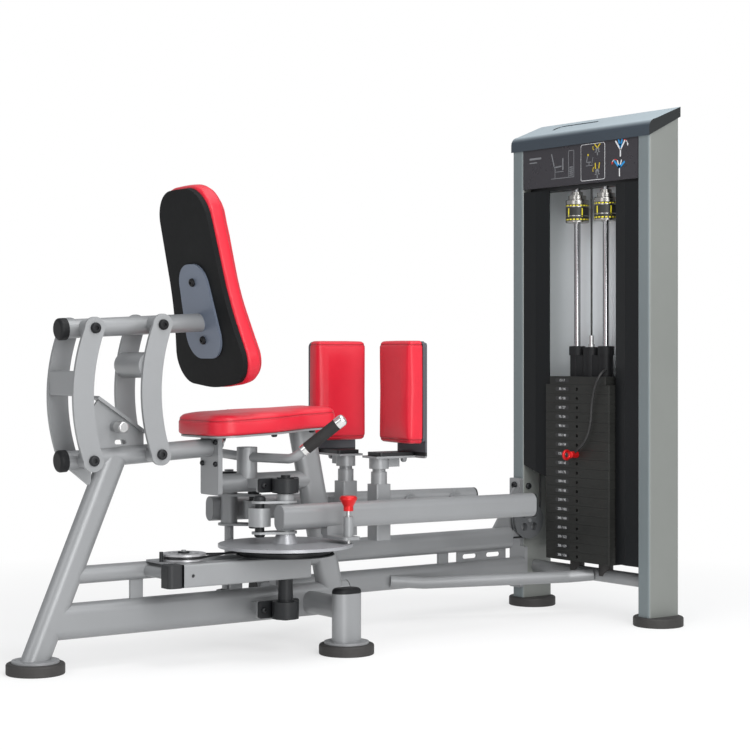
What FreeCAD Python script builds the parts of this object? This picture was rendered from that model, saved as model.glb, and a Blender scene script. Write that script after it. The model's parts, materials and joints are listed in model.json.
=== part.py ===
"""Seated hip abductor machine with a weight stack.

Millimetres.  X runs forward, the way the user faces, from the rear foot to the weight
tower; Y runs to the user's left; Z is up from the floor.  The model is laid out from the
centre of the rear foot and saved with its origin in the middle of the footprint.
"""
import FreeCAD, Part
import math
import os

from FreeCAD import Vector

X_AXIS = Vector(1, 0, 0)
Y_AXIS = Vector(0, 1, 0)
Z_AXIS = Vector(0, 0, 1)

# ---- clearances ---------------------------------------------------------------------
SEAT_GAP = 0.3          # between pieces that rest on each other but belong to moving bodies
RUNNING_FIT = 0.05      # radial clearance of a shaft in its bearing
LOOSE_FIT = 0.4         # radial clearance of a pin or rod in a plain hole

# ---- feet and floor frame -----------------------------------------------------------
FOOT_D = 146.0
FOOT_H = 28.0
FLANGE_D = 118.0
FLANGE_T = 6.0
TUBE_WALL = 3.0
BEAM_TALL = 90.0
BEAM_WIDE = 50.0
BEAM_Z = 122.0
UPRIGHT_TALL = 72.0
CROSS_X = 800.0
CROSS_TALL = 60.0
CROSS_WIDE = 50.0
CROSS_Z = 118.0
OUTRIGGER_Y = -195.0
OUTRIGGER_TALL = 82.0
OUTRIGGER_WIDE = 56.0
OUTRIGGER_TOP = 160.0
REAR_RAIL_D = 45.0
REAR_RAIL_Z = 236.0
RAIL_Y = 228.0
RAIL_WIDE = 46.0
RAIL_TALL = 66.0
UPPER_RAIL_Z = 219.0
LOWER_RAIL_Z = 124.0
UPPER_RAIL_REAR = 885.0
UPPER_RAIL_FRONT = 1704.0
BRACE_D = 36.0

# ---- weight tower -------------------------------------------------------------------
TOWER_Y = -24.5
COLUMN_PITCH = 563.0
COLUMN_W = 50.0
COLUMN_D = 119.0
COLUMN_FRONT = 1765.0
COLUMN_TOP_FRONT = 1420.0
COLUMN_TOP_BACK = 1478.0
COVER_RISE = 29.0
COVER_LIP = 3.0
COVER_WALL = 4.0
TRAY_LONG = 190.0
TRAY_WIDE = 46.0
TRAY_DEPTH = 2.5
TRAY_OFFSET = 92.0
PANEL_T = 3.0
PLACARD_TOP = 1425.0
PLACARD_BOTTOM = 1299.0
CROSSBAR_D = 40.0
CROSSBAR_Z = 124.0
TOP_BAR_Z = 1290.0
TOP_BAR_H = 28.0
TOP_BAR_W = 44.0

# ---- weight stack -------------------------------------------------------------------
STACK_X = 1820.0
PLATE_W = 284.0
PLATE_FRONT = 60.0        # from the guide rods to the plates' front
PLATE_BACK = 52.0
PLATE_T = 27.6
PLATE_PITCH = 28.0
PLATE_COUNT = 19
SELECTED_COUNT = 8
STACK_BOTTOM = 164.0
HEAD_T = 24.0
HEAD_W = 250.0
ROD_D = 19.5
ROD_PITCH = 128.0
STEM_D = 20.0
STEM_RISE = 34.0           # of the stem above the housing's bushings
FERRULE_D = 14.0
FERRULE_L = 26.0
PIN_D = 9.5
PULL_D = 21.0
PULL_L = 28.0
PULL_RING_R = 12.0
PULL_RING_WIRE_R = 4.5
BUSH_D = 44.0
HOUSING_H = 64.0
HOUSING_BOSS_D = 52.0
COLLAR_D = 50.0
COLLAR_H = 28.0
ADD_WEIGHT_D = 71.0
ADD_WEIGHT_H = 70.0
ADD_WEIGHT_Z = 1187.0
ADD_SHOULDER_D = 54.0
ADD_SHOULDER_H = 13.0
ADD_NECK_D = 34.0
ADD_NECK_H = 24.0

# ---- cable and pulleys --------------------------------------------------------------
CABLE_D = 6.0
PULLEY_D = 114.0
PULLEY_T = 18.0
PULLEY_BORE_D = 12.0
CABLE_R = 51.5          # radius of the cable's centre line round a large pulley
IDLER_D = 84.0
IDLER_CABLE_R = 37.0
IDLER_X = 848.5
IDLER_Z = 232.0
TOP_PULLEY_Z = 1380.0
TOWER_PULLEY_Y = 213.5
TOWER_PULLEY_Z = 271.0
REAR_PULLEY_X = 374.0
REAR_PULLEY_Y = -80.0
LEVER_CLEAR_Y = -113.0
CABLE_Z = 273.0
CAM_CABLE_R = 120.0

# ---- leg arms and their pivots ------------------------------------------------------
PIVOT_X = 643.0
PIVOT_Y = 142.0
SHAFT_D = 25.0
SHAFT_BOTTOM = 96.0
SHAFT_TOP = 474.0
SLEEVE_D = 46.0
SLEEVE_BOTTOM = 322.0
UPPER_BEARING_Z = 428.0
UPPER_BEARING_H = 37.0
LOWER_BEARING_Z = 100.0
LOWER_BEARING_H = 45.0
BEARING_D = 70.0
BRACKET_FACE_Y = 104.0
EAR_REACH = 62.0
EAR_T = 6.0
EAR_T = 8.0
EAR_BOLT_X = 48.0
SPACER_D = 39.0
SLEEVE_TOP = 425.0
WASHER_T = 3.0
DIAL_R = 176.0
DIAL_Z = 288.0
DIAL_T = 8.0
DIAL_HOLE_D = 12.0
DIAL_HOLES = 15
DIAL_STEP = 8.5
DIAL_SPARE = 2         # holes ahead of the one the pin stands in
CAM_R = 128.0
CAM_WRAP = 120.0        # turn of the cable round the cam, degrees
CAM_T = 13.0
LEVER_Z = 204.0
LEVER_H = 58.5
LEVER_W = 50.0
LEVER_REAR = 326.0
LEVER_FRONT = 707.0
LEVER_CAP = 43.0
ARM_TALL = 67.0
ARM_WIDE = 42.0
ARM_REAR = Vector(604, 176, 366.5)
ARM_FRONT = Vector(1488, 136, 356)
PEG_D = 28.0
PEG_X = (1247.0, 1406.0)
PEG_Z = 360.0
PEG_GAP = 12.0
LUG_T = 6.0
LUG_Z = (322.0, 402.0)
CRANK_RIGHT = Vector(-67, 20, 0)
CRANK_LEFT = Vector(48, -50, 0)
BARREL_D = 58.0
BARREL_Z = 342.0
BARREL_H = 48.0
OPEN_BORE_D = 36.0
TIE_BOLT_D = 14.0
TIE_ROD_D = 22.0
PIN_SHELF_Z = 306.0
PIN_BARREL_TOP = 366.0
KNOB_Z = 381.0
RANGE_PIN_D = 11.0
PIN_POS = Vector(772, -244, 0)

# ---- knee pads ----------------------------------------------------------------------
PAD_X = 988.0
PAD_Y = 80.0
POST_W = 48.0
POST_BOTTOM = 280.0
POST_TOP = 433.0
POST_COLLAR_D = 44.0
POST_COLLAR_TOP = 466.0
PAD_SHAFT_D = 28.0
HUB_BOTTOM = 475.0
HUB_TOP = 504.0
HUB_D = 54.0
PAD_PLATE_T = 6.0
PAD_BACK = 85.0          # back of the cushion, from the swivel axis
PAD_SHELF_W = 74.0
PAD_SIDE = -12.0        # middle of the cushion, sideways of the swivel axis
PAD_TURN = -4.0         # both pads stand turned this far, degrees
PAD_PLATE_Y = (-88.0, 54.0)   # edges of the pad's upright plate
PAD_SHELF_X = -18.0
PAD_SHELF_T = 10.0
PAD_BOARD_T = 9.0
PAD_BOLT_X = 80.0
PAD_THICK = 47.0
PAD_WIDE = 164.0
PAD_BOTTOM = 544.0
PAD_TALL = 282.0

# ---- seat, handles and back ---------------------------------------------------------
SEAT_TUBE_D = 48.0
SEAT_TUBE_REAR = Vector(68, 0, 522.5)
SEAT_TUBE_FRONT = Vector(517, 0, 545.2)
REAR_PLATE_W = 91.0
REAR_PLATE_X = 497.0
REAR_PLATE_T = 13.0
REAR_PLATE_Z = (420.0, 573.2)
SEAT_CROSS_D = 50.0
SEAT_CROSS_Z = 448.0
POST_TOP_X = 783.0
POST_FOOT_X = 880.0
FRONT_POST_TALL = 76.0
FRONT_POST_WIDE = 50.0
SEAT_Z = 571.5          # underside of the seat plate, at its rear edge
SEAT_TILT = 2.4         # the seat rises this much towards its front, degrees
SEAT_PLATE_T = 5.0
SEAT_THICK = 54.0
SEAT_BOLT_SPOTS = ((630.0, 108.0), (780.0, 60.0))
SEAT_REAR = 450.0
SEAT_FRONT = 862.0
SEAT_WAIST_X = 640.0
SEAT_NECK_X = 745.0
SEAT_CORNER_R = 62.0
SEAT_WAIST_R = 110.0
SEAT_NOSE_R = 40.0
SEAT_REAR_HALF = 128.0
SEAT_FRONT_HALF = 84.0
HANDLE_X = 613.0
HANDLE_STUB_D = 55.0
HANDLE_STUB_TOP = 542.0
HANDLE_D = 25.0
GRIP_D = 31.0
GRIP_L = 101.0
TIP_L = 22.0
LINK_FEET_X = (122.0, 313.0)
LINK_RISE = Vector(4, 0, 329.5)
LINK_BULGE = 30.0
LINK_WIDE = 56.0
LINK_T = 9.0
LINK_Y = 71.0
HINGE_HALF = 66.0
REAR_BLOCK_RISE = 27.0
REAR_BLOCK_T = 22.0
REAR_BLOCK_TALL = 62.0
FRONT_TUBE_RISE = 62.0
FRONT_TUBE_D = 66.0
LOCK_PIN_SPOT = Vector(216, 0, 606)
LOCK_PIN_D = 12.0
BACK_TUBE_REAR_X = 68.0
BACK_TUBE_FRONT_X = 560.0
BACK_LOW_X = 514.3
BACK_LOW_Z = 694.0
BACK_PLATE_LOW_HALF = 92.0
BACK_PLATE_TOP_HALF = 66.0
BACK_PLATE_LOW = 87.0
BACK_PLATE_HIGH = 338.0
BACK_BOLT_RISES = (136.0, 290.0)
HINGE_SLEEVE_D = 40.0
HINGE_PIN_D = 16.0
HINGE_HEAD_D = 27.0
HINGE_HEAD_H = 9.0
BACK_TILT = 12.3
BACK_TALL = 540.0
BACK_TOP_HALF = 124.0
BACK_WAIST_HALF = 138.0
BACK_WAIST_RISE = 225.0
BACK_WAIST_R = 700.0
BACK_BOTTOM_HALF = 194.0
BACK_BOARD_T = 14.0
BACK_THICK = 52.0
BACK_TOP_R = 88.0
BACK_LOW_R = 72.0
BACK_BELLY = 20.0         # how far the lower edge hangs below its corners
BACK_BELLY_R = 420.0
BACK_PLATE_T = 6.0

LANYARD_D = 7.0

SHIFT = Vector(-(COLUMN_FRONT + COLUMN_D / 2) / 2, -TOWER_Y, 0)


# ---- shapes used all over -----------------------------------------------------------
def box(x0, x1, y0, y1, z0, z1):
    """Box from its limits on the three axes."""
    return Part.makeBox(x1 - x0, y1 - y0, z1 - z0, Vector(x0, y0, z0))


def rod(start, end, diameter):
    """Solid round bar between two points."""
    return Part.makeCylinder(diameter / 2, (end - start).Length, start, end - start)


def tube(start, end, diameter, wall=TUBE_WALL):
    """Round tube between two points, open at both ends."""
    return rod(start, end, diameter).cut(rod(start, end, diameter - 2 * wall))


def ring(centre, outer, inner, height, axis=Z_AXIS):
    """Ring that starts at centre and rises along axis."""
    top = centre + axis * height
    return rod(centre, top, outer).cut(rod(centre, top, inner))


def oval_bar(start, end, tall, wide, up):
    """Bar of flat-oval section, its long side lying towards up."""
    axis = (end - start).normalize()
    side = axis.cross(up).normalize()
    rise = side.cross(axis)
    half = wide / 2
    high = start + rise * (tall / 2 - half)
    low = start - rise * (tall / 2 - half)
    outline = Part.Wire([
        Part.LineSegment(low + side * half, high + side * half).toShape(),
        Part.Arc(high + side * half, high + rise * half, high - side * half).toShape(),
        Part.LineSegment(high - side * half, low - side * half).toShape(),
        Part.Arc(low - side * half, low - rise * half, low + side * half).toShape(),
    ])
    return Part.Face(outline).extrude(end - start)


def oval_tube(start, end, tall, wide, up, wall=TUBE_WALL):
    """Flat-oval tube, open at both ends."""
    outer = oval_bar(start, end, tall, wide, up)
    return outer.cut(oval_bar(start, end, tall - 2 * wall, wide - 2 * wall, up))


def rounded_wire(points, radii, closed=False):
    """Straight runs through points, with a tangent arc of the given radius at each corner."""
    count = len(points)
    corners = range(count) if closed else range(1, count - 1)
    starts = {}
    ends = {}
    arcs = {}
    for i in corners:
        here = points[i]
        back = (points[i - 1] - here).normalize()
        ahead = (points[(i + 1) % count] - here).normalize()
        half_angle = back.getAngle(ahead) / 2
        reach = radii[i] / math.tan(half_angle)
        starts[i] = here + back * reach
        ends[i] = here + ahead * reach
        bisector = (back + ahead).normalize()
        middle = here + bisector * (radii[i] / math.sin(half_angle) - radii[i])
        arcs[i] = Part.Arc(starts[i], middle, ends[i]).toShape()
    edges = []
    for i in range(count if closed else count - 1):
        run_start = ends.get(i, points[i])
        run_end = starts.get((i + 1) % count, points[(i + 1) % count])
        if (run_end - run_start).Length > 1e-6:
            edges.append(Part.LineSegment(run_start, run_end).toShape())
        if (i + 1) % count in arcs:
            edges.append(arcs[(i + 1) % count])
    return Part.Wire(edges)


def rounded_plate(points, radius, thickness):
    """Plate whose outline has rounded corners, extruded along the vector thickness."""
    outline = rounded_wire(points, [radius] * len(points), closed=True)
    return Part.Face(outline).extrude(thickness)


def bent_rod(points, radii, diameter):
    """Round bar along straight runs joined by tangent arcs."""
    path = rounded_wire(points, radii)
    first = (points[1] - points[0]).normalize()
    section = Part.Wire(Part.makeCircle(diameter / 2, points[0], first))
    return path.makePipeShell([section], True, True)


def softened(shape, radius, axis=None):
    """Shape with its edges rounded; with an axis, only the edges along it."""
    edges = []
    for edge in shape.Edges:
        if axis is None:
            edges.append(edge)
        elif len(edge.Vertexes) == 2:
            run = edge.Vertexes[1].Point - edge.Vertexes[0].Point
            if run.Length > 0 and run.cross(axis).Length < 1e-6 * run.Length:
                edges.append(edge)
    return shape.makeFillet(radius, edges)


def rim_rounded(shape, radius, point, axis):
    """Shape with the edges rounded that lie in the plane through point across axis."""
    edges = []
    for edge in shape.Edges:
        spots = (edge.FirstParameter, (edge.FirstParameter + edge.LastParameter) / 2)
        if all(abs((edge.valueAt(spot) - point).dot(axis)) < 1e-4 for spot in spots):
            edges.append(edge)
    return shape.makeFillet(radius, edges)


def mirrored(shape):
    """The same piece on the other side of the machine's centre plane."""
    return shape.mirror(Vector(0, 0, 0), Y_AXIS)


def group(shapes):
    """Several separate solids kept in one sub-part."""
    solids = []
    for shape in shapes:
        solids += shape.Solids
    return Part.makeCompound(solids)


def button_head(seat, axis, diameter, height):
    """Domed bolt head with a hexagon socket, seated at a point and rising along axis."""
    top = seat + axis * height
    head = rim_rounded(rod(seat, top, diameter), height * 0.6, top, axis)
    across = diameter * 0.22
    side = axis.cross(X_AXIS if abs(axis.x) < 0.9 else Z_AXIS).normalize()
    other = axis.cross(side)
    corners = []
    for i in range(7):
        turn = math.radians(60 * i)
        corners.append(top + side * (across * math.cos(turn)) + other * (across * math.sin(turn)))
    socket = Part.Face(Part.makePolygon(corners)).extrude(axis * (-height * 0.5))
    return head.cut(socket)


def pulley(centre, axis, diameter, cable_radius, thickness, spokes=0):
    """Grooved pulley on a bore along axis, with round lightening holes between its spokes."""
    start = centre - axis * (thickness / 2)
    body = rod(start, start + axis * thickness, diameter)
    floor_r = cable_radius - CABLE_D / 2 - SEAT_GAP
    groove_w = CABLE_D + 2 * SEAT_GAP + 1.0
    groove = ring(centre - axis * (groove_w / 2), diameter + 10, 2 * floor_r, groove_w, axis)
    bore_d = PULLEY_BORE_D + 2 * RUNNING_FIT
    body = body.cut(groove).cut(rod(start - axis * 5, start + axis * (thickness + 5), bore_d))
    side = axis.cross(Z_AXIS if abs(axis.z) < 0.9 else X_AXIS).normalize()
    other = axis.cross(side)
    for i in range(spokes):
        turn = 2 * math.pi * (i + 0.5) / spokes
        spot = start + (side * math.cos(turn) + other * math.sin(turn)) * (floor_r * 0.58)
        body = body.cut(rod(spot - axis * 5, spot + axis * (thickness + 5), floor_r * 0.52))
    return body


# ---- floor frame --------------------------------------------------------------------
def tower_x():
    """Middle of the tower's columns from front to back."""
    return COLUMN_FRONT + COLUMN_D / 2


def column_y(side):
    """Middle of one column; side is +1 on the user's left, -1 on the right."""
    return TOWER_Y + side * COLUMN_PITCH / 2


def foot_spots():
    """Centres of the four feet on the floor."""
    return [
        Vector(0, 0, 0),
        Vector(CROSS_X, OUTRIGGER_Y, 0),
        Vector(tower_x(), column_y(1), 0),
        Vector(tower_x(), column_y(-1), 0),
    ]


def rubber_feet():
    """Round rubber pucks under the frame."""
    feet = []
    for spot in foot_spots():
        top = spot + Z_AXIS * FOOT_H
        foot = rod(spot, top, FOOT_D)
        foot = rim_rounded(foot, 6, top, Z_AXIS)
        feet.append(rim_rounded(foot, 3, spot, Z_AXIS))
    return group(feet)


def foot_flanges():
    """Drilled steel discs between the two single posts and their pucks."""
    flanges = []
    for spot in foot_spots()[:2]:
        disc = rod(spot + Z_AXIS * FOOT_H, spot + Z_AXIS * (FOOT_H + FLANGE_T), FLANGE_D)
        for i in range(6):
            turn = math.radians(60 * i + 30)
            hole = spot + Vector(math.cos(turn), math.sin(turn), 0) * (FLANGE_D * 0.43)
            disc = disc.cut(rod(hole, hole + Z_AXIS * 50, 6))
        flanges.append(disc)
    return group(flanges)


def upright_axis():
    """Foot and head of the leaning rear upright, the head on the seat tube's axis."""
    return Vector(0, 0, FOOT_H + FLANGE_T), Vector(214, 0, seat_tube_z(214))


def seat_tube_z(x):
    """Height of the seat tube's axis at x."""
    share = (x - SEAT_TUBE_REAR.x) / (SEAT_TUBE_FRONT.x - SEAT_TUBE_REAR.x)
    return SEAT_TUBE_REAR.z + share * (SEAT_TUBE_FRONT.z - SEAT_TUBE_REAR.z)


def seat_tube_solid():
    """Outside of the seat tube, used to cut what is welded to it."""
    return rod(SEAT_TUBE_REAR, SEAT_TUBE_FRONT, SEAT_TUBE_D)


def rear_upright_solid():
    """Outside of the rear upright, run past its foot and its head."""
    foot, head = upright_axis()
    along = (head - foot).normalize()
    return oval_bar(foot - along * 40, head, UPRIGHT_TALL, BEAM_WIDE, X_AXIS)


def rear_upright():
    """Leaning flat-oval post from the rear foot up to the seat tube."""
    foot, head = upright_axis()
    along = (head - foot).normalize()
    inner = oval_bar(foot - along * 60, head + along * 20, UPRIGHT_TALL - 2 * TUBE_WALL,
                     BEAM_WIDE - 2 * TUBE_WALL, X_AXIS)
    post = rear_upright_solid().cut(inner)
    post = post.cut(box(-200, 200, -100, 100, -100, foot.z))
    post = post.cut(seat_tube_solid())
    above = box(-100, 400, -60, 60, seat_tube_z(214), 700)
    return post.cut(above)


def beam_end_x():
    """Front end of the main beam, just past the front post's foot."""
    return POST_FOOT_X + FRONT_POST_TALL / 2 + 12


def main_beam_solid():
    """Outside of the main beam."""
    return oval_bar(Vector(60, 0, BEAM_Z), Vector(beam_end_x(), 0, BEAM_Z), BEAM_TALL, BEAM_WIDE, Z_AXIS)


def main_beam():
    """Low flat-oval beam from the rear upright to the front post."""
    beam = oval_tube(Vector(20, 0, BEAM_Z), Vector(beam_end_x(), 0, BEAM_Z), BEAM_TALL, BEAM_WIDE, Z_AXIS)
    beam = beam.cut(rear_upright_solid())
    return max(beam.Solids, key=lambda solid: solid.Volume)


def oval_plug(end, inward, tall, wide, up, lip=2.0, depth=14.0):
    """Plastic plug: a lip over the tube's end and a stub inside it."""
    cap = oval_bar(end, end - inward * lip, tall, wide, up)
    inner_tall = tall - 2 * TUBE_WALL - 0.2
    inner_wide = wide - 2 * TUBE_WALL - 0.2
    return cap.fuse(oval_bar(end, end + inward * depth, inner_tall, inner_wide, up))


def frame_plugs():
    """Black plugs in the open ends of the floor frame's tubes."""
    plugs = [
        oval_plug(Vector(beam_end_x(), 0, BEAM_Z), -X_AXIS, BEAM_TALL, BEAM_WIDE, Z_AXIS),
        oval_plug(Vector(CROSS_X - CROSS_WIDE / 2, RAIL_Y, LOWER_RAIL_Z), X_AXIS, RAIL_TALL, RAIL_WIDE, Z_AXIS),
    ]
    return group(plugs)


def cross_beam():
    """Beam across the machine from the outrigger post to the side rails."""
    start = Vector(CROSS_X, OUTRIGGER_Y, CROSS_Z)
    end = Vector(CROSS_X, RAIL_Y, CROSS_Z)
    beam = oval_tube(start, end, CROSS_TALL, CROSS_WIDE, Z_AXIS)
    beam = beam.cut(main_beam_solid()).cut(outrigger_solid()).cut(lower_rail_solid())
    return group([solid for solid in beam.Solids if solid.Volume > 5000])


def outrigger_solid():
    """Outside of the outrigger post."""
    spot = Vector(CROSS_X, OUTRIGGER_Y, FOOT_H + FLANGE_T)
    return oval_bar(spot, Vector(CROSS_X, OUTRIGGER_Y, OUTRIGGER_TOP), OUTRIGGER_TALL, OUTRIGGER_WIDE, X_AXIS)


def outrigger_post():
    """Short flat-oval post on its own foot beside the front post."""
    base = Vector(CROSS_X, OUTRIGGER_Y, FOOT_H + FLANGE_T)
    top = Vector(CROSS_X, OUTRIGGER_Y, OUTRIGGER_TOP)
    return oval_tube(base, top, OUTRIGGER_TALL, OUTRIGGER_WIDE, X_AXIS)


def outrigger_cap():
    """Domed black cap on the outrigger post."""
    base = Vector(CROSS_X, OUTRIGGER_Y, OUTRIGGER_TOP)
    top = base + Z_AXIS * 14
    dome = oval_bar(base, top, OUTRIGGER_TALL, OUTRIGGER_WIDE, X_AXIS)
    dome = rim_rounded(dome, 11, top, Z_AXIS)
    stub = oval_bar(base - Z_AXIS * 12, base, OUTRIGGER_TALL - 2 * TUBE_WALL - 0.2,
                    OUTRIGGER_WIDE - 2 * TUBE_WALL - 0.2, X_AXIS)
    return dome.fuse(stub)


def front_post_line():
    """Foot and head of the front post's axis, run on past the beam and the seat plate."""
    foot = Vector(POST_FOOT_X, 0, BEAM_Z + 20)
    head = Vector(POST_TOP_X, 0, SEAT_Z + 30)
    return foot, head


def front_post_solid():
    """Outside of the front post."""
    foot, head = front_post_line()
    along = (head - foot).normalize()
    return oval_bar(foot - along * 30, head + along * 20, FRONT_POST_TALL, FRONT_POST_WIDE, X_AXIS)


def front_post():
    """Leaning flat-oval post that carries the front of the seat."""
    foot, head = front_post_line()
    along = (head - foot).normalize()
    post = oval_tube(foot - along * 30, head + along * 20, FRONT_POST_TALL, FRONT_POST_WIDE, X_AXIS)
    post = post.cut(main_beam_solid()).cut(seat_tilted(box(600, 1100, -80, 80, SEAT_Z, SEAT_Z + 100)))
    post = post.cut(box(700, 1100, -80, 80, 0, BEAM_Z))
    return max(post.Solids, key=lambda solid: solid.Volume)


def rear_rail_solid():
    """Outside of the rear rail."""
    return rod(Vector(100, 0, REAR_RAIL_Z), Vector(860, 0, REAR_RAIL_Z), REAR_RAIL_D)


def rear_rail():
    """Round rail above the main beam, from the rear upright to the front post."""
    rail = tube(Vector(80, 0, REAR_RAIL_Z), Vector(870, 0, REAR_RAIL_Z), REAR_RAIL_D)
    rail = rail.cut(rear_upright_solid()).cut(front_post_solid())
    return max(rail.Solids, key=lambda solid: solid.Volume)


def rail_struts():
    """Flat strips between the rear rail and the main beam."""
    strips = []
    for x in (262.0, 560.0):
        strip = box(x, x + 36, -4, 4, BEAM_Z, REAR_RAIL_Z)
        strips.append(strip.cut(main_beam_solid()).cut(rear_rail_solid()))
    return group(strips)


def stop_x():
    """Station of the stop stub along the machine, opposite the lever's rubber end."""
    return LEVER_REAR - LEVER_CAP / 2


def lever_stop():
    """Stub from the rear rail that the lever's rubber end rests on."""
    end_y = -(PIVOT_Y - LEVER_W / 2) + SEAT_GAP
    stub = rod(Vector(stop_x(), 0, REAR_RAIL_Z), Vector(stop_x(), end_y, REAR_RAIL_Z), 28)
    stub = stub.cut(rear_rail_solid())
    return max(stub.Solids, key=lambda solid: abs(solid.CenterOfMass.y))


def rail_solid(x0, x1, z):
    """Outside of one side rail."""
    return oval_bar(Vector(x0, RAIL_Y, z), Vector(x1, RAIL_Y, z), RAIL_TALL, RAIL_WIDE, Z_AXIS)


def lower_rail_solid():
    """Outside of the lower side rail."""
    return rail_solid(CROSS_X - CROSS_WIDE / 2, mount_plate_x(), LOWER_RAIL_Z)


def mount_plate_x():
    """Front face of the plate bolted to the left column."""
    return COLUMN_FRONT - 12


def lower_side_rail():
    """Side rail from the cross beam to the tower's left column."""
    start = Vector(CROSS_X - CROSS_WIDE / 2, RAIL_Y, LOWER_RAIL_Z)
    return oval_tube(start, Vector(mount_plate_x(), RAIL_Y, LOWER_RAIL_Z), RAIL_TALL, RAIL_WIDE, Z_AXIS)


def upper_side_rail():
    """Side rail above the lower one; the drive cable runs inside it."""
    start = Vector(UPPER_RAIL_REAR, RAIL_Y, UPPER_RAIL_Z)
    end = Vector(UPPER_RAIL_FRONT, RAIL_Y, UPPER_RAIL_Z)
    return oval_tube(start, end, RAIL_TALL, RAIL_WIDE, Z_AXIS)


def side_rail_web():
    """Slotted web and plain struts that join the two side rails."""
    upper = rail_solid(UPPER_RAIL_REAR - 50, UPPER_RAIL_FRONT + 50, UPPER_RAIL_Z)
    rails = upper.fuse(rail_solid(CROSS_X, mount_plate_x(), LOWER_RAIL_Z))
    pieces = []
    for x0, x1 in ((910.0, 946.0), (1428.0, 1464.0)):
        pieces.append(box(x0, x1, RAIL_Y - 5, RAIL_Y + 5, LOWER_RAIL_Z, UPPER_RAIL_Z).cut(rails))
    web = box(1500, 1690, RAIL_Y - 3, RAIL_Y + 3, LOWER_RAIL_Z, UPPER_RAIL_Z).cut(rails)
    low = LOWER_RAIL_Z + RAIL_TALL / 2
    middle = (low + UPPER_RAIL_Z - RAIL_TALL / 2) / 2
    for x in (1548.0, 1640.0):
        start = Vector(x - 22, RAIL_Y - 20, middle)
        web = web.cut(oval_bar(start + X_AXIS * 22, start + X_AXIS * 22 + Y_AXIS * 40, 54, 14, X_AXIS))
    pieces.append(web)
    return group(pieces)


def rail_head_gusset():
    """Gusset and tongue that tie the upper rail's front end to the column plate."""
    top = UPPER_RAIL_Z + RAIL_TALL / 2
    points = [
        Vector(mount_plate_x() - 110, RAIL_Y + 6, top - 12),
        Vector(mount_plate_x(), RAIL_Y + 6, top - 12),
        Vector(mount_plate_x(), RAIL_Y + 6, 372),
        Vector(mount_plate_x() - 20, RAIL_Y + 6, 372),
    ]
    plate = Part.Face(Part.makePolygon(points + [points[0]])).extrude(Y_AXIS * 8)
    upper = rail_solid(UPPER_RAIL_REAR, UPPER_RAIL_FRONT, UPPER_RAIL_Z)
    return plate.cut(upper)


def tower_mount_plate():
    """Plate on the left column's front face that the side rails are welded to."""
    inner = RAIL_Y - RAIL_WIDE / 2 + 4
    outer = column_y(1) + COLUMN_W / 2
    low = box(mount_plate_x(), COLUMN_FRONT, inner, outer, 92, 190)
    high = box(mount_plate_x(), COLUMN_FRONT, column_y(1) - COLUMN_W / 2, outer, 60, 400)
    return softened(low.fuse(high).removeSplitter(), 4, X_AXIS)


def brace_points():
    """Route of the floor brace: off the lower rail, then across to the tower's crossbar."""
    return [
        Vector(1235, RAIL_Y - RAIL_WIDE / 2 + 4, LOWER_RAIL_Z - 4),
        Vector(1330, 168, 112),
        Vector(STACK_X - 75, TOWER_Y + 20, CROSSBAR_Z - 6),
        Vector(STACK_X - 14, TOWER_Y - 22, CROSSBAR_Z),
    ]


def floor_brace():
    """Bent round tube from the lower rail to the middle of the tower's crossbar."""
    points = brace_points()
    brace = bent_rod(points, [0, 160, 60, 0], BRACE_D)
    crossbar = rod(crossbar_end(1), crossbar_end(-1), CROSSBAR_D)
    brace = brace.cut(lower_rail_solid()).cut(crossbar)
    return max(brace.Solids, key=lambda solid: solid.Volume)


# ---- weight tower -------------------------------------------------------------------
def inner_face(side):
    """Face of a column that looks at the weight stack."""
    return column_y(side) - side * COLUMN_W / 2


def crossbar_end(side):
    """Where the lower crossbar meets a column."""
    return Vector(STACK_X, inner_face(side), CROSSBAR_Z)


def slanted(y0, y1, inset, rise=0.0):
    """Upright slab between two Y planes whose top follows the slope of the column heads."""
    front = COLUMN_FRONT + inset
    back = COLUMN_FRONT + COLUMN_D - inset
    slope = (COLUMN_TOP_BACK - COLUMN_TOP_FRONT) / COLUMN_D
    low = COLUMN_TOP_FRONT + rise
    points = [
        Vector(front, y0, FOOT_H),
        Vector(back, y0, FOOT_H),
        Vector(back, y0, low + slope * (back - COLUMN_FRONT)),
        Vector(front, y0, low + slope * (front - COLUMN_FRONT)),
    ]
    return Part.Face(Part.makePolygon(points + [points[0]])).extrude(Y_AXIS * (y1 - y0))


def tower_columns():
    """The two rectangular columns of the weight tower."""
    columns = []
    for side in (1, -1):
        y0 = column_y(side) - COLUMN_W / 2
        y1 = column_y(side) + COLUMN_W / 2
        outer = softened(slanted(y0, y1, 0), 8, Z_AXIS)
        columns.append(outer.cut(slanted(y0 + TUBE_WALL, y1 - TUBE_WALL, TUBE_WALL, 20)))
    return group(columns)


def cover_outline(inset=0.0):
    """Side-view corners of the tower cover: foot, brow, bend, crown, tail and heel (x, z)."""
    slope = (COLUMN_TOP_BACK - COLUMN_TOP_FRONT) / COLUMN_D
    front = COLUMN_FRONT - COVER_LIP + inset
    back = COLUMN_FRONT + COLUMN_D + COVER_LIP - inset
    low_front = COLUMN_TOP_FRONT + slope * (front - COLUMN_FRONT)
    low_back = COLUMN_TOP_FRONT + slope * (back - COLUMN_FRONT)
    return [
        (front, low_front),
        (front, low_front + COVER_RISE * 0.8 - inset),
        (front + 6, low_front + COVER_RISE * 1.35 - inset),
        (front + 24, low_front + COVER_RISE * 1.7 - inset),
        (back, low_back + COVER_RISE - inset),
        (back, low_back),
    ]


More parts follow.
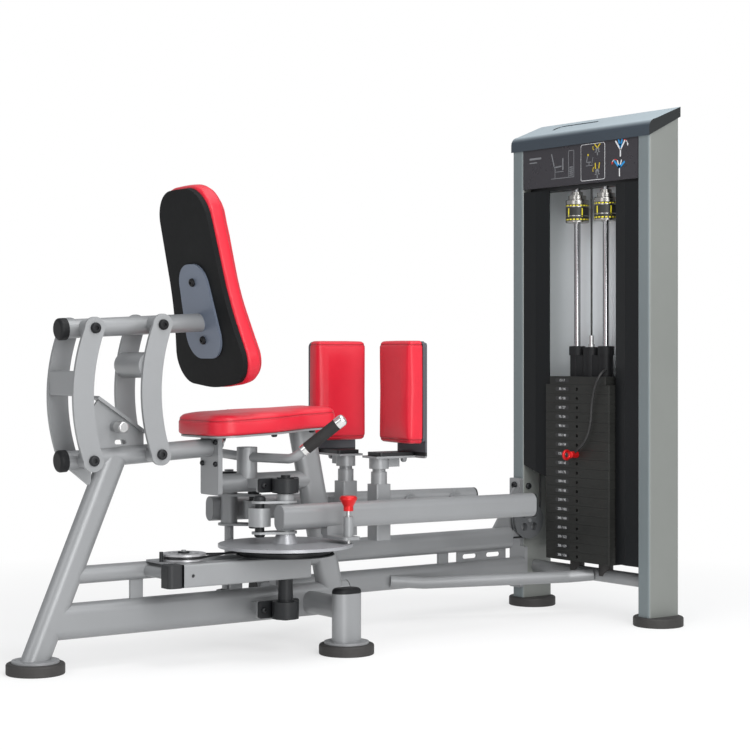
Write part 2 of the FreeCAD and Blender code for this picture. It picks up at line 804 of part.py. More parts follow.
def cover_profile(y, inset=0.0):
    """Face of the cover's side view in the plane at y."""
    foot, brow, bend, crown, tail, heel = [Vector(x, y, z) for x, z in cover_outline(inset)]
    edges = [
        Part.LineSegment(foot, brow).toShape(),
        Part.Arc(brow, bend, crown).toShape(),
        Part.LineSegment(crown, tail).toShape(),
        Part.LineSegment(tail, heel).toShape(),
        Part.LineSegment(heel, foot).toShape(),
    ]
    return Part.Face(Part.Wire(edges))


def cover_section(y0, y1):
    """Stretch of the cover between two Y planes: a shell, open underneath."""
    outer = cover_profile(y0).extrude(Y_AXIS * (y1 - y0))
    hollow = cover_profile(y0 + COVER_WALL, COVER_WALL).extrude(Y_AXIS * (y1 - y0 - 2 * COVER_WALL))
    return outer.cut(hollow)


def tower_cover():
    """Middle stretch of the top cover, with the shallow oval tray in its top."""
    y0 = inner_face(-1)
    y1 = inner_face(1)
    shell = cover_profile(y0).extrude(Y_AXIS * (y1 - y0))
    shell = shell.cut(cover_profile(y0, COVER_WALL).extrude(Y_AXIS * (y1 - y0)))
    crown = cover_outline()[3]
    tail = cover_outline()[4]
    middle = Vector((crown[0] + tail[0]) / 2, TOWER_Y + TRAY_OFFSET, (crown[1] + tail[1]) / 2)
    normal = Vector(crown[1] - tail[1], 0, tail[0] - crown[0]).normalize()
    tray = oval_bar(middle + normal * 20, middle - normal * TRAY_DEPTH, TRAY_LONG, TRAY_WIDE, Y_AXIS)
    return shell.cut(tray)


def cover_ends():
    """End pieces of the top cover, over the two columns."""
    ends = []
    for side in (1, -1):
        near = inner_face(side)
        far = column_y(side) + side * (COLUMN_W / 2 + COVER_LIP)
        ends.append(cover_section(min(near, far), max(near, far)))
    return group(ends)


def placard():
    """Plate for the instruction panel, between the columns under the cover."""
    front = COLUMN_FRONT + 2
    return box(front, front + 9, inner_face(-1), inner_face(1), PLACARD_BOTTOM, PLACARD_TOP)


def shroud(side, bottom, slant):
    """Folded black sheet that hides the gap between a column and the stack."""
    edge = inner_face(side)
    plan = [
        Vector(COLUMN_FRONT + 4, edge, bottom),
        Vector(COLUMN_FRONT + 4, edge - side * 56, bottom),
        Vector(COLUMN_FRONT + 16, edge - side * 108, bottom),
        Vector(COLUMN_FRONT + 19, edge - side * 107, bottom),
        Vector(COLUMN_FRONT + 7, edge - side * 55, bottom),
        Vector(COLUMN_FRONT + 7, edge, bottom),
    ]
    sheet = Part.Face(Part.makePolygon(plan + [plan[0]])).extrude(Z_AXIS * (TOP_BAR_Z - bottom))
    if slant:
        low = Vector(COLUMN_FRONT - 20, edge - side * 130, bottom - 1)
        points = [low, low + Y_AXIS * (side * 140), low + Y_AXIS * (side * 140) + Z_AXIS * (1 + slant)]
        sheet = sheet.cut(Part.Face(Part.makePolygon(points + [low])).extrude(X_AXIS * 100))
    return sheet


def back_panel():
    """Sheet that closes the back of the tower."""
    x = COLUMN_FRONT + COLUMN_D - 7
    return box(x, x + PANEL_T, inner_face(-1), inner_face(1), 178, COLUMN_TOP_FRONT)


def tower_crossbar():
    """Round bar between the columns that carries the guide rods and the stack's buffers."""
    bar = rod(crossbar_end(-1), crossbar_end(1), CROSSBAR_D)
    for y in rod_ys():
        bar = bar.cut(rod(Vector(STACK_X, y, CROSSBAR_Z - 10), Vector(STACK_X, y, 200), ROD_D))
    return bar


def rod_ys():
    """Y of the two guide rods."""
    return [TOWER_Y + ROD_PITCH / 2, TOWER_Y - ROD_PITCH / 2]


def tower_top_bar():
    """Bar between the columns that holds the guide rods' tops and the upper pulleys."""
    bar = box(STACK_X - TOP_BAR_W / 2, STACK_X + TOP_BAR_W / 2, inner_face(-1), inner_face(1),
              TOP_BAR_Z, TOP_BAR_Z + TOP_BAR_H)
    for y, diameter in ((rod_ys()[0], ROD_D), (rod_ys()[1], ROD_D), (TOWER_Y, 14), (TOWER_PULLEY_Y, 14)):
        bar = bar.cut(rod(Vector(STACK_X, y, TOP_BAR_Z - 5), Vector(STACK_X, y, TOP_BAR_Z + 50), diameter))
    return bar


def guide_rods():
    """Polished rods that the plates and the head slide on."""
    rods = []
    for y in rod_ys():
        rods.append(rod(Vector(STACK_X, y, CROSSBAR_Z - 10), Vector(STACK_X, y, TOP_BAR_Z + TOP_BAR_H), ROD_D))
    return group(rods)


def stack_buffers():
    """Rubber buffers that the lowest plate rests on."""
    buffers = []
    for y in rod_ys():
        base = Vector(STACK_X, y, CROSSBAR_Z)
        pad = rod(base, Vector(STACK_X, y, STACK_BOTTOM), 44)
        pad = pad.cut(rod(crossbar_end(-1), crossbar_end(1), CROSSBAR_D))
        buffers.append(pad.cut(rod(base, Vector(STACK_X, y, STACK_BOTTOM), ROD_D)))
    return group(buffers)


def weight_plate(z):
    """One plate: bevelled, with two rod holes, a stem hole and the pin's hole in front."""
    plate = box(STACK_X - PLATE_FRONT, STACK_X + PLATE_BACK, TOWER_Y - PLATE_W / 2, TOWER_Y + PLATE_W / 2,
                z, z + PLATE_T)
    plate = softened(plate, 3, Z_AXIS)
    for y in rod_ys():
        plate = plate.cut(rod(Vector(STACK_X, y, z - 1), Vector(STACK_X, y, z + PLATE_T + 1), ROD_D + 2))
    plate = plate.cut(rod(Vector(STACK_X, TOWER_Y, z - 1), Vector(STACK_X, TOWER_Y, z + PLATE_T + 1),
                          STEM_D + 2 * LOOSE_FIT))
    middle = z + PLATE_T / 2
    front = Vector(STACK_X - PLATE_FRONT - 1, TOWER_Y, middle)
    return plate.cut(rod(front, Vector(STACK_X, TOWER_Y, middle), PIN_D + 2 * LOOSE_FIT))


def plate_z(index):
    """Underside of a plate, counted from the bottom of the stack."""
    return STACK_BOTTOM + index * PLATE_PITCH


def resting_plates():
    """Plates below the pin: they stay down."""
    return group([weight_plate(plate_z(i)) for i in range(PLATE_COUNT - SELECTED_COUNT)])


def lifted_plates():
    """Plates above the pin: they ride up with the head."""
    start = PLATE_COUNT - SELECTED_COUNT
    return group([weight_plate(plate_z(i)) for i in range(start, PLATE_COUNT)])


def head_z():
    """Underside of the head plate."""
    return plate_z(PLATE_COUNT)


def pin_z():
    """Height of the selector pin, through the lowest lifted plate."""
    return plate_z(PLATE_COUNT - SELECTED_COUNT) + PLATE_T / 2


def rod_bores(shape, z0, z1, diameter):
    """Shape with both guide-rod holes cut through it between two heights."""
    for y in rod_ys():
        shape = shape.cut(rod(Vector(STACK_X, y, z0), Vector(STACK_X, y, z1), diameter))
    return shape


def head_plate():
    """Top plate of the stack."""
    z = head_z()
    plate = box(STACK_X - PLATE_FRONT, STACK_X + PLATE_BACK, TOWER_Y - HEAD_W / 2, TOWER_Y + HEAD_W / 2,
                z, z + HEAD_T)
    plate = softened(plate, 3, Z_AXIS)
    plate = rod_bores(plate, z - 1, z + HEAD_T + 1, ROD_D + 2)
    return plate.cut(rod(Vector(STACK_X, TOWER_Y, z - 1), Vector(STACK_X, TOWER_Y, z + HEAD_T + 1), STEM_D))


def head_housing():
    """Black casting on the head plate: two guide bushings joined by a bridge."""
    z = head_z() + HEAD_T
    body = box(STACK_X - 17, STACK_X + 17, rod_ys()[1], rod_ys()[0], z, z + HOUSING_H)
    boss_top = z + HOUSING_H + COLLAR_H - 3
    body = body.fuse(rod(Vector(STACK_X, TOWER_Y, z), Vector(STACK_X, TOWER_Y, boss_top), HOUSING_BOSS_D))
    for y in rod_ys():
        body = body.fuse(rod(Vector(STACK_X, y, z), Vector(STACK_X, y, z + HOUSING_H), BUSH_D))
        top = Vector(STACK_X, y, z + HOUSING_H)
        collar = rim_rounded(rod(top, top + Z_AXIS * COLLAR_H, COLLAR_D), 3, top + Z_AXIS * COLLAR_H, Z_AXIS)
        body = body.fuse(collar)
    body = rod_bores(body, z - 1, z + 200, ROD_D + 2 * RUNNING_FIT)
    return body.cut(rod(Vector(STACK_X, TOWER_Y, z - 1), Vector(STACK_X, TOWER_Y, z + 200), STEM_D))


def selector_stem():
    """Drilled steel stem that hangs from the head down through every plate."""
    top = head_z() + HEAD_T + HOUSING_H + STEM_RISE
    stem = rod(Vector(STACK_X, TOWER_Y, STACK_BOTTOM + 4), Vector(STACK_X, TOWER_Y, top), STEM_D)
    for i in range(PLATE_COUNT):
        z = plate_z(i) + PLATE_T / 2
        stem = stem.cut(rod(Vector(STACK_X - 20, TOWER_Y, z), Vector(STACK_X + 20, TOWER_Y, z),
                            PIN_D + 2 * LOOSE_FIT))
    return stem


def cable_ferrule():
    """Swaged terminal that joins the cable to the stem."""
    base = Vector(STACK_X, TOWER_Y, head_z() + HEAD_T + HOUSING_H + STEM_RISE)
    return rod(base, base + Z_AXIS * FERRULE_L, FERRULE_D)


def ferrule_top():
    """Where the lifting cable leaves its terminal."""
    return head_z() + HEAD_T + HOUSING_H + STEM_RISE + FERRULE_L


def selector_pin():
    """Red pull pin: ring, body and the steel shank through plate and stem."""
    z = pin_z()
    front = STACK_X - PLATE_FRONT - SEAT_GAP
    shank = rod(Vector(front, TOWER_Y, z), Vector(STACK_X + STEM_D / 2 - 1, TOWER_Y, z), PIN_D)
    body = rod(Vector(front - PULL_L, TOWER_Y, z), Vector(front, TOWER_Y, z), PULL_D)
    body = rim_rounded(body, 4, Vector(front - PULL_L, TOWER_Y, z), X_AXIS)
    eye = Vector(front - PULL_L - PULL_RING_R, TOWER_Y, z)
    loop = Part.makeTorus(PULL_RING_R, PULL_RING_WIRE_R, eye, Y_AXIS)
    return body.fuse(shank).fuse(loop)


def add_weight(side):
    """Round extra weight parked high on one guide rod."""
    y = TOWER_Y + side * ROD_PITCH / 2
    base = Vector(STACK_X, y, ADD_WEIGHT_Z)
    top = base + Z_AXIS * ADD_WEIGHT_H
    body = rim_rounded(rod(base, top, ADD_WEIGHT_D), 3, top, Z_AXIS)
    body = rim_rounded(body, 3, base, Z_AXIS)
    for share in (0.3, 0.7):
        groove = base + Z_AXIS * (ADD_WEIGHT_H * share - 1.5)
        body = body.cut(ring(groove, ADD_WEIGHT_D + 4, ADD_WEIGHT_D - 3, 3))
    body = body.fuse(rod(top, top + Z_AXIS * ADD_SHOULDER_H, ADD_SHOULDER_D))
    body = body.fuse(rod(top, top + Z_AXIS * ADD_NECK_H, ADD_NECK_D))
    return body.cut(rod(base - Z_AXIS, top + Z_AXIS * (ADD_NECK_H + 1), ROD_D + 2 * RUNNING_FIT))


# ---- cable drive --------------------------------------------------------------------
def heading(degrees):
    """Unit vector in the floor plane, measured anticlockwise from +X."""
    turn = math.radians(degrees)
    return Vector(math.cos(turn), math.sin(turn), 0)


def wrap_corners(centre, radius, start, end, steps):
    """Corners of the path that turns from one heading to another round a vertical axis."""
    side = 1 if end > start else -1
    step = (end - start) / steps
    corners = []
    for i in range(steps):
        middle = start + step * (i + 0.5) - side * 90
        corners.append(centre + heading(middle) * (radius / math.cos(math.radians(step / 2))))
    return corners


def idler_centre():
    """Centre of the idler beside the upper side rail's open end."""
    return Vector(IDLER_X, TOWER_PULLEY_Y - IDLER_CABLE_R, IDLER_Z)


def rear_pulley_centre():
    """Centre of the return pulley at the rear."""
    return Vector(REAR_PULLEY_X, REAR_PULLEY_Y, CABLE_Z)


def cam_centre():
    """Middle of the cable cam, on the right arm's axis."""
    return Vector(PIVOT_X, -PIVOT_Y, CABLE_Z)


def idler_heading():
    """Direction of the strand from the idler to the rear pulley."""
    across = rear_pulley_centre() - idler_centre()
    reach = math.hypot(across.x, across.y)
    line = math.degrees(math.atan2(across.y, across.x)) % 360
    return line - math.degrees(math.asin((CABLE_R - IDLER_CABLE_R) / reach))


def cam_heading():
    """Direction of the crossed strand from the rear pulley to the cam."""
    across = cam_centre() - rear_pulley_centre()
    reach = math.hypot(across.x, across.y)
    line = math.degrees(math.atan2(across.y, across.x))
    return line + math.degrees(math.asin((CABLE_R + CAM_CABLE_R) / reach))


def drive_cable():
    """Cable from the stack over the top pulleys, along the side rail and round to the cam."""
    top = TOP_PULLEY_Z + CABLE_R
    low = TOWER_PULLEY_Z - CABLE_R
    idler = idler_centre()
    rear = rear_pulley_centre()
    out = heading(idler_heading())
    idler_exit = idler + heading(idler_heading() - 90) * IDLER_CABLE_R
    rear_entry = rear + heading(idler_heading() - 90) * CABLE_R
    points = [
        Vector(STACK_X, TOWER_Y, TOP_PULLEY_Z),
        Vector(STACK_X, TOWER_Y, top),
        Vector(STACK_X, TOWER_PULLEY_Y, top),
        Vector(STACK_X, TOWER_PULLEY_Y, low),
        Vector(STACK_X - CABLE_R - 60, TOWER_PULLEY_Y, low),
        Vector(idler.x + 40, TOWER_PULLEY_Y, IDLER_Z),
    ]
    radii = [0, CABLE_R, CABLE_R, CABLE_R, 300, 300]
    points += wrap_corners(idler, IDLER_CABLE_R, 180, idler_heading(), 1)
    radii += [IDLER_CABLE_R]
    points += [idler_exit + out * 25, rear_entry - out * 20]
    radii += [150, 150]
    points += wrap_corners(rear, CABLE_R, idler_heading(), cam_heading() + 360, 2)
    radii += [CABLE_R, CABLE_R]
    points += wrap_corners(cam_centre(), CAM_CABLE_R, cam_heading(), cam_heading() - CAM_WRAP, 2)
    radii += [CAM_CABLE_R, CAM_CABLE_R]
    points.append(cam_centre() + heading(cam_heading() - CAM_WRAP + 90) * CAM_CABLE_R)
    radii.append(0)
    return bent_rod(points, radii, CABLE_D)


def stack_cable():
    """Stretch of the cable between the stack's stem and the first top pulley."""
    return rod(Vector(STACK_X, TOWER_Y, ferrule_top()), Vector(STACK_X, TOWER_Y, TOP_PULLEY_Z), CABLE_D)


def top_pulley_centres():
    """Centres of the two top pulleys: over the tower pulley's strand, over the stack."""
    return [
        Vector(STACK_X, TOWER_PULLEY_Y - CABLE_R, TOP_PULLEY_Z),
        Vector(STACK_X, TOWER_Y + CABLE_R, TOP_PULLEY_Z),
    ]


def tower_pulley_centre():
    """Centre of the pulley that turns the cable into the side rail."""
    return Vector(STACK_X - CABLE_R, TOWER_PULLEY_Y, TOWER_PULLEY_Z)


def top_pulley_hangers():
    """Side plates and axles of the top pulleys, standing on the top bar."""
    pieces = []
    floor = TOP_BAR_Z + TOP_BAR_H
    for centre in top_pulley_centres():
        for x in (STACK_X - 16, STACK_X + 12):
            cheek = box(x, x + 4, centre.y - 22, centre.y + 22, floor, TOP_PULLEY_Z + 22)
            cheek = cheek.cut(rod(Vector(x - 5, centre.y, centre.z), Vector(x + 9, centre.y, centre.z),
                                  PULLEY_BORE_D))
            pieces.append(cheek)
        axle = rod(Vector(STACK_X - 22, centre.y, centre.z), Vector(STACK_X + 22, centre.y, centre.z),
                   PULLEY_BORE_D)
        pieces.append(axle)
    return pieces


def tower_pulley_bracket():
    """Plate and axle of the tower pulley on the left column's inner face."""
    centre = tower_pulley_centre()
    face = inner_face(1)
    plate = box(centre.x - 34, centre.x + 44, face - 7, face, centre.z - 38, centre.z + 38)
    plate = softened(plate, 14, Y_AXIS)
    axle = rod(Vector(centre.x, centre.y - PULLEY_T / 2 - 4, centre.z), Vector(centre.x, face - 7, centre.z),
               PULLEY_BORE_D)
    return plate.fuse(axle)


def idler_bracket():
    """Two shelves and a web that carry the idler on the cross beam."""
    centre = idler_centre()
    web_x = CROSS_X - 10
    y0 = centre.y - 41
    y1 = centre.y - 7
    bottom = centre.z - PULLEY_T / 2 - 8
    top = centre.z + PULLEY_T / 2 + 8
    body = box(web_x, web_x + 8, y0, y1, CROSS_Z, top).cut(cross_beam_solid())
    for z in (bottom, top - 6):
        body = body.fuse(box(web_x, centre.x + 20, y0, centre.y + 14, z, z + 6))
    body = body.fuse(rod(Vector(centre.x, centre.y, bottom - 4), Vector(centre.x, centre.y, top + 4),
                         PULLEY_BORE_D))
    strand = drive_strand_clearance()
    return body.cut(strand)


def drive_strand_clearance():
    """Room left round the strand that leaves the idler."""
    start = idler_centre() + heading(idler_heading() - 90) * IDLER_CABLE_R
    return rod(start, start + heading(idler_heading()) * 120, CABLE_D + 10)


def cross_beam_solid():
    """Outside of the cross beam."""
    start = Vector(CROSS_X, OUTRIGGER_Y, CROSS_Z)
    return oval_bar(start, Vector(CROSS_X, RAIL_Y, CROSS_Z), CROSS_TALL, CROSS_WIDE, Z_AXIS)


def rear_pulley_shelf():
    """Plate on the rear rail with the return pulley's axle and two cable keepers."""
    centre = rear_pulley_centre()
    top = centre.z - PULLEY_T / 2 - SEAT_GAP * 2
    shelf = box(centre.x - 70, centre.x + 40, LEVER_CLEAR_Y, -6, top - 5, top)
    shelf = softened(shelf, 5, Z_AXIS)
    shelf = shelf.cut(rear_rail_solid())
    shelf = shelf.fuse(rod(Vector(centre.x, centre.y, top - 5), Vector(centre.x, centre.y, centre.z + 17),
                           PULLEY_BORE_D))
    return shelf


def rear_keepers():
    """Cap on the return pulley's axle and the keeper bolts beside it."""
    centre = rear_pulley_centre()
    top = centre.z + PULLEY_T / 2 + SEAT_GAP
    washer = ring(Vector(centre.x, centre.y, top), 30, PULLEY_BORE_D, 4)
    shelf_top = centre.z - PULLEY_T / 2 - SEAT_GAP * 2
    post = Vector(centre.x - 63, centre.y + 4, 0)
    keeper = rod(post + Z_AXIS * shelf_top, post + Z_AXIS * (top + 6), 10)
    return [washer, keeper]


# ---- pivots -------------------------------------------------------------------------
def pivot(side, z):
    """Point on one arm's axis; side is +1 for the left arm, -1 for the right."""
    return Vector(PIVOT_X, side * PIVOT_Y, z)


def bearing(side, z, height):
    """Flanged bearing: ring round the shaft and an ear plate against its bracket."""
    body = rod(pivot(side, z), pivot(side, z + height), BEARING_D)
    ear_y = side * BRACKET_FACE_Y
    ears = box(PIVOT_X - EAR_REACH, PIVOT_X + EAR_REACH, min(ear_y, ear_y + side * EAR_T),
               max(ear_y, ear_y + side * EAR_T), z, z + height)
    ears = softened(ears, 6, Y_AXIS)
    behind = box(PIVOT_X - 60, PIVOT_X + 60, min(0, ear_y), max(0, ear_y), z - 1, z + height + 1)
    body = body.cut(behind).fuse(ears)
    body = body.fuse(rod(pivot(side, z + height), pivot(side, z + height + 3), SLEEVE_D))
    return body.cut(rod(pivot(side, z - 5), pivot(side, z + height + 5), SHAFT_D + 2 * RUNNING_FIT))


def pivot_bearings():
    """The four black bearings of the two arm shafts."""
    pieces = []
    for side in (1, -1):
        pieces.append(bearing(side, UPPER_BEARING_Z, UPPER_BEARING_H))
        pieces.append(bearing(side, LOWER_BEARING_Z, LOWER_BEARING_H))
    return group(pieces)


def bearing_bolts():
    """Bolts through the bearings' ears."""
    heads = []
    for side in (1, -1):
        for z in (UPPER_BEARING_Z + UPPER_BEARING_H / 2, LOWER_BEARING_Z + LOWER_BEARING_H / 2):
            for x in (PIVOT_X - EAR_BOLT_X, PIVOT_X + EAR_BOLT_X):
                seat = Vector(x, side * (BRACKET_FACE_Y + EAR_T), z)
                heads.append(button_head(seat, Y_AXIS * side, 15, 8))
    return heads


def upper_brackets():
    """Brackets from the seat's cross tube out to the upper bearings."""
    cross = seat_cross_solid().fuse(handle_stub_solid())
    pieces = []
    for side in (1, -1):
        face = side * BRACKET_FACE_Y
        inner = face - side * EAR_T
        plate = box(PIVOT_X - EAR_REACH, PIVOT_X + EAR_REACH, min(face, inner), max(face, inner),
                    UPPER_BEARING_Z, UPPER_BEARING_Z + UPPER_BEARING_H)
        arm = box(PIVOT_X - 44, PIVOT_X + 44, min(0, face), max(0, face),
                  SEAT_CROSS_Z - 12, SEAT_CROSS_Z + 12)
        arm = arm.fuse(softened(plate, 6, Y_AXIS)).cut(cross)
        pieces.append(max(arm.Solids, key=lambda solid: solid.Volume))
    return pieces


def lower_brackets():
    """Brackets from the main beam out to the lower bearings."""
    beam = main_beam_solid()
    pieces = []
    middle = LOWER_BEARING_Z + LOWER_BEARING_H / 2
    for side in (1, -1):
        face = side * BRACKET_FACE_Y
        inner = face - side * EAR_T
        plate = box(PIVOT_X - EAR_REACH, PIVOT_X + EAR_REACH, min(face, inner), max(face, inner),
                    LOWER_BEARING_Z, LOWER_BEARING_Z + LOWER_BEARING_H)
        arm = box(PIVOT_X - 34, PIVOT_X + 34, min(0, face), max(0, face), middle - 12, middle + 12)
        arm = arm.fuse(softened(plate, 6, Y_AXIS)).cut(beam)
        pieces.append(max(arm.Solids, key=lambda solid: solid.Volume))
    return pieces


# ---- cam, dial and lever on the right shaft -----------------------------------------
def right_shaft():
    """Shaft of the right side, with the spacer and collar keyed on it."""
    shaft = rod(pivot(-1, SHAFT_BOTTOM), pivot(-1, SHAFT_TOP), SHAFT_D)
    low = LOWER_BEARING_Z + LOWER_BEARING_H + 3 + SEAT_GAP
    spacer = rod(pivot(-1, low), pivot(-1, LEVER_Z - SEAT_GAP), SPACER_D)
    return shaft.fuse(spacer)


def cable_cam():
    """Grooved cam disc on its hub, with a cable anchor hole, and the shaft it is keyed to."""
    half = CAM_T / 2
    bottom = CABLE_Z - half
    disc = rod(pivot(-1, bottom), pivot(-1, CABLE_Z + half), 2 * CAM_R)
    floor_r = CAM_CABLE_R - CABLE_D / 2 - SEAT_GAP
    groove_w = CABLE_D + 2 * SEAT_GAP + 1
    groove = ring(pivot(-1, CABLE_Z - groove_w / 2), 2 * CAM_R + 10, 2 * floor_r, groove_w)
    disc = disc.cut(groove)
    for i in range(5):
        spot = pivot(-1, 0) + heading(20 + 72 * i) * 78
        disc = disc.cut(rod(spot + Z_AXIS * (bottom - 5), spot + Z_AXIS * (bottom + CAM_T + 5), 42))
    hub = rod(pivot(-1, LEVER_Z + LEVER_H + SEAT_GAP), pivot(-1, DIAL_Z), 60)
    return disc.fuse(hub).fuse(right_shaft())


def range_dial():
    """Round plate of pin holes that sets where the right arm starts, with its cone."""
    plate = rod(pivot(-1, DIAL_Z), pivot(-1, DIAL_Z + DIAL_T), 2 * DIAL_R)
    hole_r = math.hypot(PIN_POS.x - PIVOT_X, PIN_POS.y + PIVOT_Y)
    first = math.degrees(math.atan2(PIN_POS.y + PIVOT_Y, PIN_POS.x - PIVOT_X))
    for i in range(DIAL_HOLES):
        spot = pivot(-1, DIAL_Z - 2) + heading(first - DIAL_STEP * (i - DIAL_SPARE)) * hole_r
        plate = plate.cut(rod(spot, spot + Z_AXIS * (DIAL_T + 4), DIAL_HOLE_D))
    base = DIAL_Z + DIAL_T
    cone = Part.makeCone(34, SLEEVE_D / 2 + 2, SLEEVE_BOTTOM - SEAT_GAP - WASHER_T - base, pivot(-1, base))
    washer = rod(pivot(-1, SLEEVE_BOTTOM - SEAT_GAP - WASHER_T), pivot(-1, SLEEVE_BOTTOM - SEAT_GAP),
                 SLEEVE_D + 4)
    dial = plate.fuse(cone).fuse(washer)
    return dial.cut(rod(pivot(-1, DIAL_Z - 10), pivot(-1, SLEEVE_BOTTOM + 10), SHAFT_D))


def lever_y():
    """Middle of the stop lever across the machine."""
    return -PIVOT_Y


def stop_lever():
    """Bar under the cam that swings on the right shaft and rests on the stop stub."""
    bar = box(LEVER_REAR, LEVER_FRONT, lever_y() - LEVER_W / 2, lever_y() + LEVER_W / 2,
              LEVER_Z, LEVER_Z + LEVER_H)
    bar = softened(bar, 5, X_AXIS)
    hole = Vector(LEVER_REAR + 26, lever_y() - LEVER_W, LEVER_Z + LEVER_H / 2)
    bar = bar.cut(rod(hole, hole + Y_AXIS * 40, 9))
    bar = bar.cut(rod(pivot(-1, LEVER_Z - 5), pivot(-1, LEVER_Z + LEVER_H + 5), SHAFT_D + 2 * RUNNING_FIT))
    cap = box(LEVER_REAR - LEVER_CAP, LEVER_REAR, lever_y() - LEVER_W / 2, lever_y() + LEVER_W / 2,
              LEVER_Z, LEVER_Z + LEVER_H)
    cap = softened(cap, 12, Z_AXIS)
    return group([bar, cap])


# ---- arms ---------------------------------------------------------------------------
def arm_solid():
    """Outside of the left arm's tube."""
    return oval_bar(ARM_REAR, ARM_FRONT, ARM_TALL, ARM_WIDE, Z_AXIS)


def arm_y(x):
    """Middle of the left arm's tube across the machine, at x."""
    share = (x - ARM_REAR.x) / (ARM_FRONT.x - ARM_REAR.x)
    return ARM_REAR.y + share * (ARM_FRONT.y - ARM_REAR.y)


def crank_plates(offset):
    """Upper and lower lug from the left-hand sleeve to a tie bolt at offset."""
    centre = Vector(PIVOT_X, PIVOT_Y, 0)
    bolt = centre + offset
    along = (bolt - centre).normalize()
    across = Vector(-along.y, along.x, 0)
    plates = []
    for z in LUG_Z:
        lift = Z_AXIS * z
        near = rod(centre + lift, centre + lift + Z_AXIS * LUG_T, SLEEVE_D + 14)
        far = rod(bolt + lift, bolt + lift + Z_AXIS * LUG_T, BARREL_D * 0.72)
        r0 = (SLEEVE_D + 14) / 2
        r1 = BARREL_D * 0.36
        corners = [centre + across * r0, bolt + across * r1, bolt - across * r1, centre - across * r0]
        corners = [corner + lift for corner in corners]
        web = Part.Face(Part.makePolygon(corners + [corners[0]])).extrude(Z_AXIS * LUG_T)
        plate = near.fuse(far).fuse(web)
        plates.append(plate)
    return plates


def arm_body(offset, keyed):
    """Left-handed arm: tube, sleeve, tie lugs and the pad post with its bore."""
    sleeve = rod(Vector(PIVOT_X, PIVOT_Y, SLEEVE_BOTTOM), Vector(PIVOT_X, PIVOT_Y, SLEEVE_TOP), SLEEVE_D)
    arm = oval_tube(ARM_REAR, ARM_FRONT, ARM_TALL, ARM_WIDE, Z_AXIS)
    body = arm.cut(sleeve)
    body = max(body.Solids, key=lambda solid: solid.Volume).fuse(sleeve)
    for plate in crank_plates(offset):
        body = body.fuse(plate)
    post = box(PAD_X - POST_W / 2, PAD_X + POST_W / 2, PAD_Y - POST_W / 2, PAD_Y + POST_W / 2,
               POST_BOTTOM, POST_TOP)
    post = softened(post, 5, Z_AXIS)
    stub = box(PAD_X - POST_W / 2 + 4, PAD_X + POST_W / 2 - 4, PAD_Y, arm_y(PAD_X), ARM_REAR.z - 26, ARM_REAR.z + 18)
    post = post.fuse(stub).cut(arm_solid())
    post = min(post.Solids, key=lambda solid: solid.BoundBox.YMin)
    collar = rod(Vector(PAD_X, PAD_Y, POST_TOP), Vector(PAD_X, PAD_Y, POST_COLLAR_TOP), POST_COLLAR_D)
    body = body.fuse(post.fuse(collar))
    for x in PEG_X:
        peg = rod(Vector(x, PEG_GAP, PEG_Z), Vector(x, arm_y(x) - ARM_WIDE / 2 + 3, PEG_Z), PEG_D)
        peg = rim_rounded(peg, 4, Vector(x, PEG_GAP, PEG_Z), Y_AXIS)
        face = arm_y(x) - ARM_WIDE / 2
        flange = rod(Vector(x, face - 7, PEG_Z), Vector(x, face + 3, PEG_Z), PEG_D + 16)
        body = body.fuse(peg.fuse(flange).cut(arm_solid()))
    shaft_room = rod(Vector(PAD_X, PAD_Y, POST_BOTTOM + 20), Vector(PAD_X, PAD_Y, POST_COLLAR_TOP + 5),
                     PAD_SHAFT_D + 2 * RUNNING_FIT)
    body = body.cut(shaft_room)
    bore = SHAFT_D if keyed else SHAFT_D + 2 * RUNNING_FIT
    body = body.cut(rod(Vector(PIVOT_X, PIVOT_Y, SLEEVE_BOTTOM - 9), Vector(PIVOT_X, PIVOT_Y, SLEEVE_TOP + 9), bore))
    bolt = Vector(PIVOT_X, PIVOT_Y, 0) + offset
    return body.cut(rod(bolt + Z_AXIS * (LUG_Z[0] - 9), bolt + Z_AXIS * (LUG_Z[1] + 20), TIE_BOLT_D))


def left_shaft():
    """Shaft of the left arm, with the spacer on it."""
    shaft = rod(pivot(1, SHAFT_BOTTOM), pivot(1, SHAFT_TOP), SHAFT_D)
    low = LOWER_BEARING_Z + LOWER_BEARING_H + 3 + SEAT_GAP
    return shaft.fuse(rod(pivot(1, low), pivot(1, LEVER_Z - SEAT_GAP), SPACER_D))


def left_arm():
    """Left arm keyed to its shaft."""
    return group([arm_body(CRANK_LEFT, True), left_shaft()])


def pin_bracket():
    """Shelf, rib and guide barrel of the range pin under the right arm's outer side."""
    y_arm = -arm_y(PIN_POS.x)
    shelf = box(PIN_POS.x - 26, PIN_POS.x + 26, PIN_POS.y - 22, y_arm + 14, PIN_SHELF_Z, PIN_SHELF_Z + 8)
    shelf = softened(shelf, 10, Z_AXIS)
    rib = box(PIN_POS.x - 26, PIN_POS.x + 26, y_arm - 16, y_arm + 14, PIN_SHELF_Z + 8, ARM_REAR.z)
    rib = rib.cut(mirrored(arm_solid()))
    rib = min(rib.Solids, key=lambda solid: solid.BoundBox.ZMin)
    barrel = rod(Vector(PIN_POS.x, PIN_POS.y, PIN_SHELF_Z), Vector(PIN_POS.x, PIN_POS.y, PIN_BARREL_TOP), 26)
    body = shelf.fuse(rib).fuse(barrel)
    return body.cut(rod(Vector(PIN_POS.x, PIN_POS.y, PIN_SHELF_Z - 5), Vector(PIN_POS.x, PIN_POS.y, 500),
                        RANGE_PIN_D + 2 * RUNNING_FIT))


def right_arm():
    """Right arm, free on its shaft, with the range pin's bracket."""
    offset = Vector(CRANK_RIGHT.x, -CRANK_RIGHT.y, 0)
    return mirrored(arm_body(offset, False)).fuse(pin_bracket())


